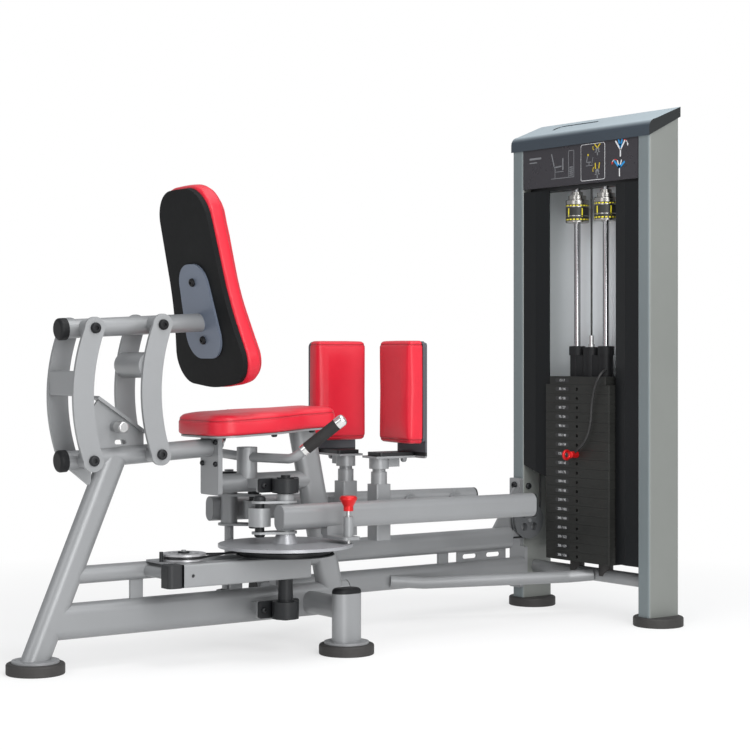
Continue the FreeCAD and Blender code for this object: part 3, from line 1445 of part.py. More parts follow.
def arm_fittings(offset):
    """Plugs, tie bolt, spacers and the tube plug of the left-handed arm."""
    pieces = []
    along = (ARM_FRONT - ARM_REAR).normalize()
    pieces.append(oval_plug(ARM_FRONT, along * -1, ARM_TALL, ARM_WIDE, Z_AXIS, 5, 16))
    pieces.append(oval_plug(ARM_REAR, along, ARM_TALL, ARM_WIDE, Z_AXIS, 3, 10))
    bolt = Vector(PIVOT_X, PIVOT_Y, 0) + offset
    shank = rod(bolt + Z_AXIS * LUG_Z[0], bolt + Z_AXIS * (LUG_Z[1] + LUG_T), TIE_BOLT_D)
    for low, high in ((LUG_Z[0] + LUG_T, BARREL_Z - SEAT_GAP), (BARREL_Z + BARREL_H + SEAT_GAP, LUG_Z[1])):
        shank = shank.fuse(rod(bolt + Z_AXIS * low, bolt + Z_AXIS * high, 25))
    upper = button_head(bolt + Z_AXIS * (LUG_Z[1] + LUG_T), Z_AXIS, 32, 13)
    lower = button_head(bolt + Z_AXIS * LUG_Z[0], -Z_AXIS, 28, 8)
    pieces += [shank, upper, lower]
    return group(pieces)


def tie_link():
    """Link between the two arms: two barrels and a round bar; the left barrel is open wide."""
    right = Vector(PIVOT_X + CRANK_RIGHT.x, -PIVOT_Y + CRANK_RIGHT.y, 0)
    left = Vector(PIVOT_X + CRANK_LEFT.x, PIVOT_Y + CRANK_LEFT.y, 0)
    middle = Z_AXIS * (BARREL_Z + BARREL_H / 2)
    body = rod(right + middle, left + middle, TIE_ROD_D)
    for spot, bore in ((right, TIE_BOLT_D + 2 * RUNNING_FIT), (left, OPEN_BORE_D)):
        body = body.fuse(rod(spot + Z_AXIS * BARREL_Z, spot + Z_AXIS * (BARREL_Z + BARREL_H), BARREL_D))
    for spot, bore in ((right, TIE_BOLT_D + 2 * RUNNING_FIT), (left, OPEN_BORE_D)):
        body = body.cut(rod(spot + Z_AXIS * (BARREL_Z - 5), spot + Z_AXIS * (BARREL_Z + BARREL_H + 5), bore))
    return body


def range_pin():
    """Sprung pull pin with its flared knob, standing in one hole of the dial."""
    spot = Vector(PIN_POS.x, PIN_POS.y, 0)
    pin = rod(spot + Z_AXIS * (DIAL_Z + 1), spot + Z_AXIS * (KNOB_Z + 10), RANGE_PIN_D)
    profile = [
        Vector(0, 0, KNOB_Z),
        Vector(13, 0, KNOB_Z),
        Vector(13, 0, KNOB_Z + 12),
        Vector(23, 0, KNOB_Z + 30),
        Vector(23, 0, KNOB_Z + 35),
        Vector(19, 0, KNOB_Z + 39),
        Vector(0, 0, KNOB_Z + 39),
    ]
    face = Part.Face(Part.makePolygon(profile + [profile[0]]))
    knob = face.revolve(Vector(0, 0, 0), Z_AXIS, 360)
    knob.translate(spot)
    return pin.fuse(knob)


# ---- thigh pads ---------------------------------------------------------------------
def turned(shape, spot, degrees):
    """Copy of a pad part, modelled at the origin facing +X, set on its post and turned."""
    shape = shape.copy()
    shape.rotate(Vector(0, 0, 0), Z_AXIS, degrees)
    shape.translate(spot)
    return shape


def pad_steel():
    """Swivel shaft, hub and the bent plate behind one thigh pad, at the origin facing +X."""
    shaft = rod(Vector(0, 0, POST_BOTTOM + 21), Vector(0, 0, HUB_TOP), PAD_SHAFT_D)
    thrust = rod(Vector(0, 0, POST_COLLAR_TOP + SEAT_GAP), Vector(0, 0, HUB_BOTTOM), PAD_SHAFT_D + 8)
    hub = rod(Vector(0, 0, HUB_BOTTOM), Vector(0, 0, HUB_TOP), HUB_D)
    lug = box(0, HUB_D / 2 + 34, -9, 9, HUB_BOTTOM + 4, HUB_TOP)
    rear = PAD_BACK + PAD_BOARD_T
    leg = box(-HUB_D / 2 - 4, rear + PAD_PLATE_T, -PAD_SHELF_W / 2, PAD_SHELF_W / 2,
              HUB_TOP, HUB_TOP + PAD_PLATE_T)
    upright = box(rear, rear + PAD_PLATE_T, PAD_PLATE_Y[0], PAD_PLATE_Y[1], HUB_TOP, PAD_BOTTOM + PAD_TALL - 6)
    upright = softened(upright, 8, X_AXIS)
    return shaft.fuse(thrust).fuse(hub).fuse(lug).fuse(leg).fuse(upright)


def pad_backing():
    """Black board behind the cushion, black shelf plate and its bolt, at the origin."""
    board = box(PAD_BACK, PAD_BACK + PAD_BOARD_T, PAD_SIDE - PAD_WIDE / 2 + 3, PAD_SIDE + PAD_WIDE / 2 - 3,
                PAD_BOTTOM + 2, PAD_BOTTOM + PAD_TALL - 2)
    board = softened(board, 16, X_AXIS)
    top = HUB_TOP + PAD_PLATE_T
    half = PAD_SHELF_W / 2 - 2
    shelf = box(PAD_SHELF_X, PAD_BACK + PAD_BOARD_T, -half, half, top, top + PAD_SHELF_T)
    bolt = button_head(Vector(PAD_BOLT_X, 0, HUB_TOP), -Z_AXIS, 18, 14)
    return [board, softened(shelf, 8, Z_AXIS), bolt]


def pad_bracket(spot, degrees):
    """Steel bracket and backing of one thigh pad in its place."""
    pieces = [pad_steel()] + pad_backing()
    return group([turned(piece, spot, degrees) for piece in pieces])


def pad_cushion(spot, degrees):
    """Upholstered thigh pad in its place."""
    cushion = box(PAD_BACK - PAD_THICK, PAD_BACK, PAD_SIDE - PAD_WIDE / 2, PAD_SIDE + PAD_WIDE / 2,
                  PAD_BOTTOM, PAD_BOTTOM + PAD_TALL)
    cushion = softened(cushion, 14, X_AXIS)
    face = Vector(PAD_BACK - PAD_THICK, 0, 0)
    return turned(rim_rounded(cushion, 14, face, X_AXIS), spot, degrees)


# ---- seat ---------------------------------------------------------------------------
def handle_stub_solid():
    """Outside of the short post that the handle bar passes through."""
    return rod(Vector(HANDLE_X, 0, SEAT_CROSS_Z), Vector(HANDLE_X, 0, HANDLE_STUB_TOP), HANDLE_STUB_D)


def seat_cross_solid():
    """Outside of the tube from the rear plate to the front post."""
    return rod(Vector(REAR_PLATE_X + REAR_PLATE_T, 0, SEAT_CROSS_Z), Vector(860, 0, SEAT_CROSS_Z), SEAT_CROSS_D)


def seat_spine():
    """Upper rear tube, its end plate, the tube on to the front post and the seat's plate."""
    pieces = []
    plate_x = REAR_PLATE_X
    top_tube = tube(SEAT_TUBE_REAR, SEAT_TUBE_FRONT, SEAT_TUBE_D)
    along = (SEAT_TUBE_FRONT - SEAT_TUBE_REAR).normalize()
    top_tube = top_tube.fuse(rod(SEAT_TUBE_FRONT - along * 4, SEAT_TUBE_FRONT, SEAT_TUBE_D))
    for x in LINK_FEET_X:
        spot = Vector(x, 0, seat_tube_z(x))
        sleeve = rod(spot - Y_AXIS * HINGE_HALF, spot + Y_AXIS * HINGE_HALF, HINGE_SLEEVE_D)
        top_tube = top_tube.fuse(sleeve)
    for x in LINK_FEET_X:
        spot = Vector(x, 0, seat_tube_z(x))
        top_tube = top_tube.cut(rod(spot - Y_AXIS * 90, spot + Y_AXIS * 90, HINGE_PIN_D))
    pieces.append(top_tube)
    plate = box(plate_x, plate_x + REAR_PLATE_T, -REAR_PLATE_W / 2, REAR_PLATE_W / 2,
                REAR_PLATE_Z[0], REAR_PLATE_Z[1])
    pieces.append(softened(plate, 6, X_AXIS).cut(seat_tube_solid()))
    cross = tube(Vector(plate_x + REAR_PLATE_T, 0, SEAT_CROSS_Z), Vector(860, 0, SEAT_CROSS_Z), SEAT_CROSS_D)
    cross = max(cross.cut(front_post_solid()).Solids, key=lambda solid: solid.Volume)
    pieces.append(cross)
    stub = handle_stub_solid().cut(seat_cross_solid()).cut(handle_bar_solid())
    pieces.append(max(stub.Solids, key=lambda solid: solid.Volume))
    return pieces


def seat_gussets():
    """Plates that stiffen the rear upright's head."""
    points = [
        Vector(86, -5, seat_tube_z(86) - SEAT_TUBE_D / 2 + 6),
        Vector(150, -5, seat_tube_z(150) - SEAT_TUBE_D / 2 + 6),
        Vector(150, -5, 455),
    ]
    plate = Part.Face(Part.makePolygon(points + [points[0]])).extrude(Y_AXIS * 10)
    plate = plate.cut(seat_tube_solid()).cut(rear_upright_solid())
    return max(plate.Solids, key=lambda solid: solid.Volume)


def seat_tilted(shape):
    """Copy of shape turned up about the seat plate's rear edge."""
    raised = shape.copy()
    raised.rotate(Vector(SEAT_REAR, 0, SEAT_Z), Y_AXIS, -SEAT_TILT)
    return raised


def seat_outline(z, inset):
    """Seat's plan corners at height z, drawn in by inset: narrow in front, wide behind."""
    half = [
        (SEAT_REAR + inset, SEAT_REAR_HALF - inset),
        (SEAT_WAIST_X, SEAT_REAR_HALF - inset),
        (SEAT_NECK_X, SEAT_FRONT_HALF - inset),
        (SEAT_FRONT - inset, SEAT_FRONT_HALF - inset),
    ]
    left = [Vector(x, y, z) for x, y in half]
    right = [Vector(x, -y, z) for x, y in reversed(half)]
    return left + right


def seat_slab(z, inset, thickness):
    """Slab of the seat's plan shape with every corner rounded."""
    radii = [SEAT_CORNER_R, SEAT_WAIST_R, SEAT_WAIST_R, SEAT_NOSE_R]
    outline = rounded_wire(seat_outline(z, inset), radii + radii[::-1], closed=True)
    return Part.Face(outline).extrude(Z_AXIS * thickness)


def seat_plate():
    """Steel plate under the seat cushion."""
    return seat_tilted(seat_slab(SEAT_Z, 6, SEAT_PLATE_T))


def seat_bolts():
    """Bolt heads under the seat plate."""
    heads = []
    for x, y in SEAT_BOLT_SPOTS:
        for side in (1, -1):
            heads.append(seat_tilted(button_head(Vector(x, side * y, SEAT_Z), -Z_AXIS, 16, 7)))
    return heads


def seat_cushion():
    """Seat cushion, with its upper and lower edges rounded over."""
    low = SEAT_Z + SEAT_PLATE_T
    top = low + SEAT_THICK
    cushion = seat_slab(low, 0, SEAT_THICK)
    cushion = rim_rounded(cushion, 20, Vector(0, 0, top), Z_AXIS)
    return seat_tilted(rim_rounded(cushion, 10, Vector(0, 0, low), Z_AXIS))


def handle_points():
    """Corners of the handle bar, from the right grip round to the left one."""
    half = [
        Vector(HANDLE_X, 0, 515.5),
        Vector(HANDLE_X + 19, 195, 518.5),
        Vector(729, 284, 622.5),
    ]
    right = [Vector(point.x, -point.y, point.z) for point in half]
    return [right[2], right[1], half[0], half[1], half[2]]


def handle_bar_solid():
    """Bent round bar through the stub under the seat."""
    return bent_rod(handle_points(), [0, 45, 300, 45, 0], HANDLE_D)


def grip_span(side):
    """Inner and outer end of one grip, and the direction of the bar there."""
    points = handle_points()
    end = points[-1] if side > 0 else points[0]
    bend = points[-2] if side > 0 else points[1]
    along = (end - bend).normalize()
    outer = end - along * TIP_L
    return outer - along * GRIP_L, outer, along


def handle_bar():
    """Handle bar with the collars and rounded ends of its grips."""
    pieces = [handle_bar_solid()]
    for side in (1, -1):
        inner, outer, along = grip_span(side)
        collar = rod(inner - along * 14, inner, GRIP_D).cut(rod(inner - along * 40, inner + along, HANDLE_D))
        end = outer + along * TIP_L
        tip = rod(outer, end + along * 4, GRIP_D)
        tip = rim_rounded(tip, 9, end + along * 4, along).cut(rod(outer - along * 40, end, HANDLE_D))
        pieces += [collar, tip]
    return group(pieces)


def handle_grips():
    """Rubber sleeves on the handle bar."""
    grips = []
    for side in (1, -1):
        inner, outer, along = grip_span(side)
        grips.append(rod(inner, outer, GRIP_D).cut(rod(inner - along, outer + along, HANDLE_D)))
    return group(grips)


# ---- adjustable back ----------------------------------------------------------------
def back_tilt_frame():
    """Unit vectors of the leaning back: up along the board and out through its front."""
    lean = math.radians(BACK_TILT)
    return Vector(-math.sin(lean), 0, math.cos(lean)), Vector(math.cos(lean), 0, math.sin(lean))


def link_foot(index):
    """Lower pivot of a link pair: 0 for the rear one, 1 for the front one."""
    x = LINK_FEET_X[index]
    return Vector(x, 0, seat_tube_z(x))


def link_head(index):
    """Upper pivot of a link pair."""
    return link_foot(index) + LINK_RISE


def curved_link(index, y0, y1):
    """Bowed flat bar with round ends and pivot holes, between two Y planes."""
    foot = link_foot(index)
    head = link_head(index)
    chord = (head - foot).normalize()
    out = Vector(chord.z, 0, -chord.x)
    middle = (foot + head) * 0.5 - out * LINK_BULGE
    half = LINK_WIDE / 2
    low_out = foot + out * half
    low_in = foot - out * half
    high_out = head + out * half
    high_in = head - out * half
    edges = [
        Part.Arc(low_out, middle + out * half, high_out).toShape(),
        Part.Arc(high_out, head + chord * half, high_in).toShape(),
        Part.Arc(high_in, middle - out * half, low_in).toShape(),
        Part.Arc(low_in, foot - chord * half, low_out).toShape(),
    ]
    plate = Part.Face(Part.Wire(edges))
    plate.translate(Y_AXIS * y0)
    plate = plate.extrude(Y_AXIS * (y1 - y0))
    for spot in (foot, head):
        plate = plate.cut(rod(spot - Y_AXIS * 90, spot + Y_AXIS * 90, HINGE_PIN_D + 2 * RUNNING_FIT))
    return plate


def link_pair(index):
    """Both links of a pair."""
    near = LINK_Y - LINK_T / 2
    far = LINK_Y + LINK_T / 2
    return curved_link(index, near, far).fuse(curved_link(index, -far, -near))


def rear_links():
    """Rear link pair, joined by a flat block."""
    spine = (link_foot(0) + link_head(0)) * 0.5 + Vector(-LINK_BULGE, 0, REAR_BLOCK_RISE)
    rear = spine.x - LINK_WIDE / 2 + 3
    inside = LINK_Y - LINK_T / 2
    block = box(rear, rear + REAR_BLOCK_T, -inside, inside, spine.z - REAR_BLOCK_TALL / 2, spine.z + REAR_BLOCK_TALL / 2)
    return link_pair(0).fuse(softened(block, 4, Y_AXIS))


def front_links():
    """Front link pair, joined by a round cross tube."""
    spine = (link_foot(1) + link_head(1)) * 0.5 + Vector(-LINK_BULGE, 0, FRONT_TUBE_RISE)
    bar = rod(spine - Y_AXIS * (LINK_Y - LINK_T / 2), spine + Y_AXIS * (LINK_Y - LINK_T / 2), FRONT_TUBE_D)
    return link_pair(1).fuse(bar)


def back_tube_ends():
    """Rear and front end of the upper tube that carries the backrest."""
    head = link_head(0)
    along = (link_head(1) - head).normalize()
    rear = head - along * (head.x - BACK_TUBE_REAR_X)
    front = head + along * (BACK_TUBE_FRONT_X - head.x)
    return rear, front


def back_board_face():
    """Plane point on the rear face of the board, level with the upper tube's front end."""
    up, out = back_tilt_frame()
    low = Vector(BACK_LOW_X, 0, BACK_LOW_Z)
    return low, up, out


def back_panel_shape(low_half, top_half, start, end, depth0, depth1, radius):
    """Tapered slab on the leaning back, between two heights and two depths."""
    low, up, out = back_board_face()
    base = low + out * depth0
    points = [
        base + up * start + Y_AXIS * low_half,
        base + up * start - Y_AXIS * low_half,
        base + up * end - Y_AXIS * top_half,
        base + up * end + Y_AXIS * top_half,
    ]
    return rounded_plate(points, radius, out * (depth1 - depth0))


def back_pad_shape(inset, depth0, depth1):
    """Backrest slab drawn in by inset: round top, slight waist, hanging lower edge."""
    low, up, out = back_board_face()
    base = low + out * depth0
    low_half = BACK_BOTTOM_HALF - inset
    waist_half = BACK_WAIST_HALF - inset
    top_half = BACK_TOP_HALF - inset
    points = [
        base + up * (inset + BACK_BELLY) + Y_AXIS * low_half,
        base + up * inset,
        base + up * (inset + BACK_BELLY) - Y_AXIS * low_half,
        base + up * BACK_WAIST_RISE - Y_AXIS * waist_half,
        base + up * (BACK_TALL - inset) - Y_AXIS * top_half,
        base + up * (BACK_TALL - inset) + Y_AXIS * top_half,
        base + up * BACK_WAIST_RISE + Y_AXIS * waist_half,
    ]
    radii = [BACK_LOW_R, BACK_BELLY_R, BACK_LOW_R, BACK_WAIST_R, BACK_TOP_R, BACK_TOP_R, BACK_WAIST_R]
    outline = rounded_wire(points, radii, closed=True)
    return Part.Face(outline).extrude(out * (depth1 - depth0))


def back_carrier():
    """Upper tube with its hinge sleeves and the steel plate that the board is bolted to."""
    rear, front = back_tube_ends()
    body = tube(rear, front, SEAT_TUBE_D)
    for index in (0, 1):
        spot = link_head(index)
        body = body.fuse(rod(spot - Y_AXIS * HINGE_HALF, spot + Y_AXIS * HINGE_HALF, HINGE_SLEEVE_D))
    for index in (0, 1):
        spot = link_head(index)
        body = body.cut(rod(spot - Y_AXIS * 90, spot + Y_AXIS * 90, HINGE_PIN_D))
    plate = back_panel_shape(BACK_PLATE_LOW_HALF, BACK_PLATE_TOP_HALF, BACK_PLATE_LOW, BACK_PLATE_HIGH,
                             -BACK_PLATE_T, 0, BACK_PLATE_TOP_HALF - 6)
    low, up, out = back_board_face()
    behind = rounded_room(low, up, out)
    body = body.cut(behind)
    return group([max(body.Solids, key=lambda solid: solid.Volume), plate])


def rounded_room(low, up, out):
    """Space in front of the back plate's rear face, used to end the upper tube on it."""
    corner = low - out * BACK_PLATE_T - up * 300 - Y_AXIS * 200
    points = [corner, corner + Y_AXIS * 400, corner + Y_AXIS * 400 + up * 1000, corner + up * 1000]
    return Part.Face(Part.makePolygon(points + [points[0]])).extrude(out * 400)


def back_board():
    """Board behind the back cushion."""
    return back_pad_shape(6, 0, BACK_BOARD_T)


def back_cushion():
    """Back cushion with rounded edges."""
    low, _, out = back_board_face()
    cushion = back_pad_shape(0, BACK_BOARD_T, BACK_BOARD_T + BACK_THICK)
    cushion = rim_rounded(cushion, 24, low + out * (BACK_BOARD_T + BACK_THICK), out)
    return rim_rounded(cushion, 10, low + out * BACK_BOARD_T, out)


def hinge_bolts(spots):
    """Pins and domed heads at the ends of the given hinge sleeves."""
    pieces = []
    seat = LINK_Y + LINK_T / 2 + SEAT_GAP
    for spot in spots:
        pieces.append(rod(spot - Y_AXIS * seat, spot + Y_AXIS * seat, HINGE_PIN_D))
        for side in (1, -1):
            head = spot + Y_AXIS * (side * seat)
            pieces.append(button_head(head, Y_AXIS * side, HINGE_HEAD_D, HINGE_HEAD_H))
    return pieces


def tube_cap(end, outward):
    """Rounded rubber cap over the end of a round tube."""
    tip = end + outward * 10
    cap = rod(end - outward * 12, tip, SEAT_TUBE_D + 8)
    cap = rim_rounded(cap, 8, tip, outward)
    return cap.cut(rod(end - outward * 40, end, SEAT_TUBE_D))


def back_fittings():
    """Black pieces that ride with the back: pins, heads, bolts and the tube's cap."""
    rear, front = back_tube_ends()
    pieces = hinge_bolts([link_head(0), link_head(1)])
    pieces.append(tube_cap(rear, (rear - front).normalize()))
    low, up, out = back_board_face()
    for rise in BACK_BOLT_RISES:
        pieces.append(button_head(low + up * rise - out * BACK_PLATE_T, out * -1, 22, 8))
    return group(pieces)


def lock_quadrant():
    """Upright plate with a sloping edge strip that the back's pull pin works in."""
    points = [
        Vector(150, -4, seat_tube_z(150)),
        Vector(300, -4, seat_tube_z(300)),
        Vector(300, -4, 590),
        Vector(172, -4, 677),
        Vector(150, -4, 645),
    ]
    plate = Part.Face(Part.makePolygon(points + [points[0]])).extrude(Y_AXIS * 8)
    plate = plate.cut(seat_tube_solid())
    plate = max(plate.Solids, key=lambda solid: solid.Volume)
    edge = (Vector(300, 0, 590) - Vector(166, 0, 681)).normalize()
    up = Vector(-edge.z, 0, edge.x)
    start = Vector(166, -15, 681) - up * 4
    strip_face = [start, start + Y_AXIS * 30, start + Y_AXIS * 30 + edge * 162, start + edge * 162]
    strip = Part.Face(Part.makePolygon(strip_face + [strip_face[0]])).extrude(up * 8)
    body = plate.fuse(strip)
    spot = LOCK_PIN_SPOT
    boss = rod(spot - Y_AXIS * 26, spot - Y_AXIS * 3, 26)
    body = body.fuse(boss)
    slot = oval_bar(Vector(LOCK_PIN_SPOT.x + 18, -20, 566), Vector(LOCK_PIN_SPOT.x + 18, 20, 566), 34, 12, X_AXIS)
    body = body.cut(slot)
    return body.cut(rod(spot - Y_AXIS * 40, spot + Y_AXIS * 40, LOCK_PIN_D + 2 * RUNNING_FIT))


def lock_pin():
    """Pull pin of the back adjuster, with its round knob."""
    spot = LOCK_PIN_SPOT
    pin = rod(spot - Y_AXIS * 44, spot + Y_AXIS * 8, LOCK_PIN_D)
    outer = spot - Y_AXIS * 58
    knob = rim_rounded(rod(outer, spot - Y_AXIS * (26 + SEAT_GAP), 30), 5, outer, Y_AXIS)
    return pin.fuse(knob)


# ---- loose lanyard of the selector pin ----------------------------------------------
def lanyard_points():
    """Corners of the slack cord from the near bushing of the head down to the selector pin."""
    bush = Vector(STACK_X, rod_ys()[1], head_z() + HEAD_T)
    front = STACK_X - PLATE_FRONT
    pull = Vector(front - PULL_L / 2, TOWER_Y, pin_z())
    reach = (BUSH_D / 2 + SEAT_GAP) * math.sqrt(0.5)
    start = bush + Vector(-reach, -reach, 18)
    return [
        start,
        start + Vector(-29, -30, 5),
        Vector(front - 16, start.y - 37, start.z - 14),
        Vector(front - 13, start.y - 12, start.z - 54),
        Vector(front - 8, start.y + 5, start.z - 106),
        Vector(front - 8, start.y + 8, start.z - 156),
        Vector(front - 10, pull.y - 59, pull.z + 56),
        pull + Vector(2, -37, 27),
        pull + Vector(0, -9, 8.5),
    ]


def lanyard_radii(points):
    """Largest easy bend at each corner of a cord."""
    radii = [0]
    for before, corner, after in zip(points, points[1:], points[2:]):
        inward = corner - before
        onward = after - corner
        half = inward.getAngle(onward) / 2
        radii.append(0.45 * min(inward.Length, onward.Length) / math.tan(half))
    return radii + [0]


def pin_lanyard():
    """Thin cord that keeps the selector pin with the stack."""
    points = lanyard_points()
    radii = lanyard_radii(points)
    print("lanyard radii", [round(radius, 1) for radius in radii[1:-1]])
    return bent_rod(points, radii, LANYARD_D)


# ---- node list ----------------------------------------------------------------------
def frame_bolt_heads():
    """Black bolts and pins that stay with the frame."""
    pieces = hinge_bolts([link_foot(0), link_foot(1)]) + bearing_bolts()
    for z in (84.0, 340.0, 378.0):
        spot = Vector(mount_plate_x(), column_y(1), z)
        pieces.append(button_head(spot, -X_AXIS, 22, 8))
    inner = Vector(COLUMN_FRONT + 22, inner_face(1), 375)
    pieces.append(button_head(inner, -Y_AXIS, 20, 8))
    for z in (REAR_PLATE_Z[0] + 82, REAR_PLATE_Z[1] - 14):
        for side in (1, -1):
            spot = Vector(REAR_PLATE_X, side * (REAR_PLATE_W / 2 - 12), z)
            pieces.append(button_head(spot, -X_AXIS, 14, 7))
    return group(pieces + rear_keepers() + seat_bolts())


def frame_caps():
    """Black caps and plugs on the frame's tube ends."""
    rear = (SEAT_TUBE_REAR - SEAT_TUBE_FRONT).normalize()
    pieces = frame_plugs().Solids + [outrigger_cap(), tube_cap(SEAT_TUBE_REAR, rear)]
    return group(pieces)


def pad_spot(y_side):
    """Swivel axis of a thigh pad on the floor plane."""
    return Vector(PAD_X, y_side * PAD_Y, 0)


def nodes():
    """Every node of the machine with its shape."""
    right_crank = Vector(CRANK_RIGHT.x, -CRANK_RIGHT.y, 0)
    tops = top_pulley_centres()
    bars = [tower_crossbar(), tower_top_bar()] + top_pulley_hangers() + [tower_pulley_bracket()]
    rails = [upper_side_rail(), lower_side_rail(), rail_head_gusset(), tower_mount_plate()]
    beams = [main_beam(), outrigger_post(), idler_bracket()] + lower_brackets()
    rear = [rear_upright(), rear_rail(), lever_stop(), rear_pulley_shelf()]
    stack = [lifted_plates(), head_plate()]
    return {
        "rubber_feet": rubber_feet(),
        "floor_beams": group(beams + foot_flanges().Solids + cross_beam().Solids),
        "rear_upright": group(rear + rail_struts().Solids),
        "front_post": front_post(),
        "side_rails": group(rails + side_rail_web().Solids),
        "floor_brace": floor_brace(),
        "tower_columns": tower_columns(),
        "tower_crossbars": group(bars),
        "tower_back_panel": back_panel(),
        "tower_shrouds": group([shroud(1, 400, 46), shroud(-1, 170, 0)]),
        "tower_cover": group([tower_cover()] + cover_ends().Solids),
        "placard": placard(),
        "guide_rods": guide_rods(),
        "stack_buffers": stack_buffers(),
        "resting_plates": resting_plates(),
        "seat_frame": group(seat_spine() + [seat_gussets()] + upper_brackets() + [seat_plate()]),
        "seat_cushion": seat_cushion(),
        "handle_bar": handle_bar(),
        "handle_grips": handle_grips(),
        "pivot_bearings": pivot_bearings(),
        "lock_quadrant": lock_quadrant(),
        "frame_caps": frame_caps(),
        "frame_bolts": frame_bolt_heads(),
        "drive_cable": drive_cable(),
        "right_arm": right_arm(),
        "right_arm_fittings": mirrored(arm_fittings(right_crank)),
        "left_arm": left_arm(),
        "left_arm_fittings": arm_fittings(CRANK_LEFT),
        "tie_link": tie_link(),
        "range_dial": range_dial(),
        "cable_cam": cable_cam(),
        "stop_lever": stop_lever(),
        "range_pin": range_pin(),
        "right_pad_bracket": pad_bracket(pad_spot(-1), PAD_TURN),
        "right_pad_cushion": pad_cushion(pad_spot(-1), PAD_TURN),
        "left_pad_bracket": pad_bracket(pad_spot(1), 90 + PAD_TURN),
        "left_pad_cushion": pad_cushion(pad_spot(1), 90 + PAD_TURN),
        "rear_links": rear_links(),
        "front_links": front_links(),
        "back_carrier": back_carrier(),
        "back_board": back_board(),
        "back_cushion": back_cushion(),
        "back_fittings": back_fittings(),
        "lock_pin": lock_pin(),
        "lifted_plates": group([solid for shape in stack for solid in shape.Solids]),
        "head_housing": head_housing(),
        "selector_stem": group([selector_stem(), cable_ferrule()]),
        "stack_cable": stack_cable(),
        "selector_pin": selector_pin(),
        "pin_lanyard": pin_lanyard(),
        "add_weight_left": add_weight(1),
        "add_weight_right": add_weight(-1),
        "rear_pulley": pulley(rear_pulley_centre(), Z_AXIS, PULLEY_D, CABLE_R, PULLEY_T, 4),
        "idler_pulley": pulley(idler_centre(), Z_AXIS, IDLER_D, IDLER_CABLE_R, PULLEY_T),
        "tower_pulley": pulley(tower_pulley_centre(), Y_AXIS, PULLEY_D, CABLE_R, PULLEY_T, 4),
        "top_pulley_left": pulley(tops[0], X_AXIS, PULLEY_D, CABLE_R, PULLEY_T, 4),
        "top_pulley_middle": pulley(tops[1], X_AXIS, PULLEY_D, CABLE_R, PULLEY_T, 4),
    }


os.makedirs("parts", exist_ok=True)
for name, shape in nodes().items():
    placed = shape.copy()
    placed.translate(SHIFT)
    placed.exportStep("parts/" + name + ".step")
    print(name, len(placed.Solids), "solids", placed.isValid(), round(placed.Volume / 1000), "cm3")
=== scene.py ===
import json
import math

import bmesh
import bpy
import numpy
from mathutils import Matrix, Vector


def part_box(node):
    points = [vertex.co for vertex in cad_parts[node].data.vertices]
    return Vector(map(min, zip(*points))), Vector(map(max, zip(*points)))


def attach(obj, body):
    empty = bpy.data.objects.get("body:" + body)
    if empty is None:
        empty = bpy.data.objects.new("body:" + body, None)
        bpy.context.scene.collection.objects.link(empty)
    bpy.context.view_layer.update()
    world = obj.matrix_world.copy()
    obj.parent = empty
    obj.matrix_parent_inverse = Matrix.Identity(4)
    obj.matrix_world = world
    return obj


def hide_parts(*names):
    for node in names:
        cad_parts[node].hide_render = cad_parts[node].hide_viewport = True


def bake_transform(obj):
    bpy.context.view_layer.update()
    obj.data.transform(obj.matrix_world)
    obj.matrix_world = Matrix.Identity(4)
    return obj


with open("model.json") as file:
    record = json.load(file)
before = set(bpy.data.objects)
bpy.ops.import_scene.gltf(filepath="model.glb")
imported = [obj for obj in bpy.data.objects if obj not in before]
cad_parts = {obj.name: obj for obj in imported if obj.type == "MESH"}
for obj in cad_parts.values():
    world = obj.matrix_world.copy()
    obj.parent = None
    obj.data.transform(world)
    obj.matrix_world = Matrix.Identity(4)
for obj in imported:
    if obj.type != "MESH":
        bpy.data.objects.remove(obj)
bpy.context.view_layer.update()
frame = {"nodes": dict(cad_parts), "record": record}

nodes = frame["nodes"]
scene = bpy.context.scene
UP = Vector((0, 0, 1))
BACK_LEAN = math.radians(12.3)
BACK_OUT = Vector((math.cos(BACK_LEAN), 0, math.sin(BACK_LEAN)))
BACK_UP = Vector((-math.sin(BACK_LEAN), 0, math.cos(BACK_LEAN)))

# ---- camera -------------------------------------------------------------------------
camera_data = bpy.data.cameras.new("camera")
camera_data.sensor_width = 36.0
camera_data.lens = 90.1
camera_data.shift_y = -0.0333
camera_data.clip_end = 100.0
camera = bpy.data.objects.new("camera", camera_data)
camera.location = (-2.93025, -4.2355, 0.8)
camera.rotation_euler = (math.radians(90), 0, math.radians(-35.60))
scene.collection.objects.link(camera)
scene.camera = camera

# ---- lanyard of the selector pin ----------------------------------------------------
LANYARD_POINTS = [
    (0.89198, -0.07977, 0.7380),
    (0.86298, -0.10977, 0.7430),
    (0.83175, -0.11677, 0.7240),
    (0.83475, -0.09177, 0.6840),
    (0.83975, -0.07477, 0.6320),
    (0.83975, -0.07177, 0.5820),
    (0.83775, -0.05900, 0.5418),
    (0.83575, -0.03700, 0.5128),
    (0.83375, -0.00900, 0.4943),
]
LANYARD_DIAMETER = 0.007


def shape_mesh(piece):
    """Mesh of a curve object as it stands."""
    graph = bpy.context.evaluated_depsgraph_get()
    graph.update()
    return bpy.data.meshes.new_from_object(piece.evaluated_get(graph), depsgraph=graph)


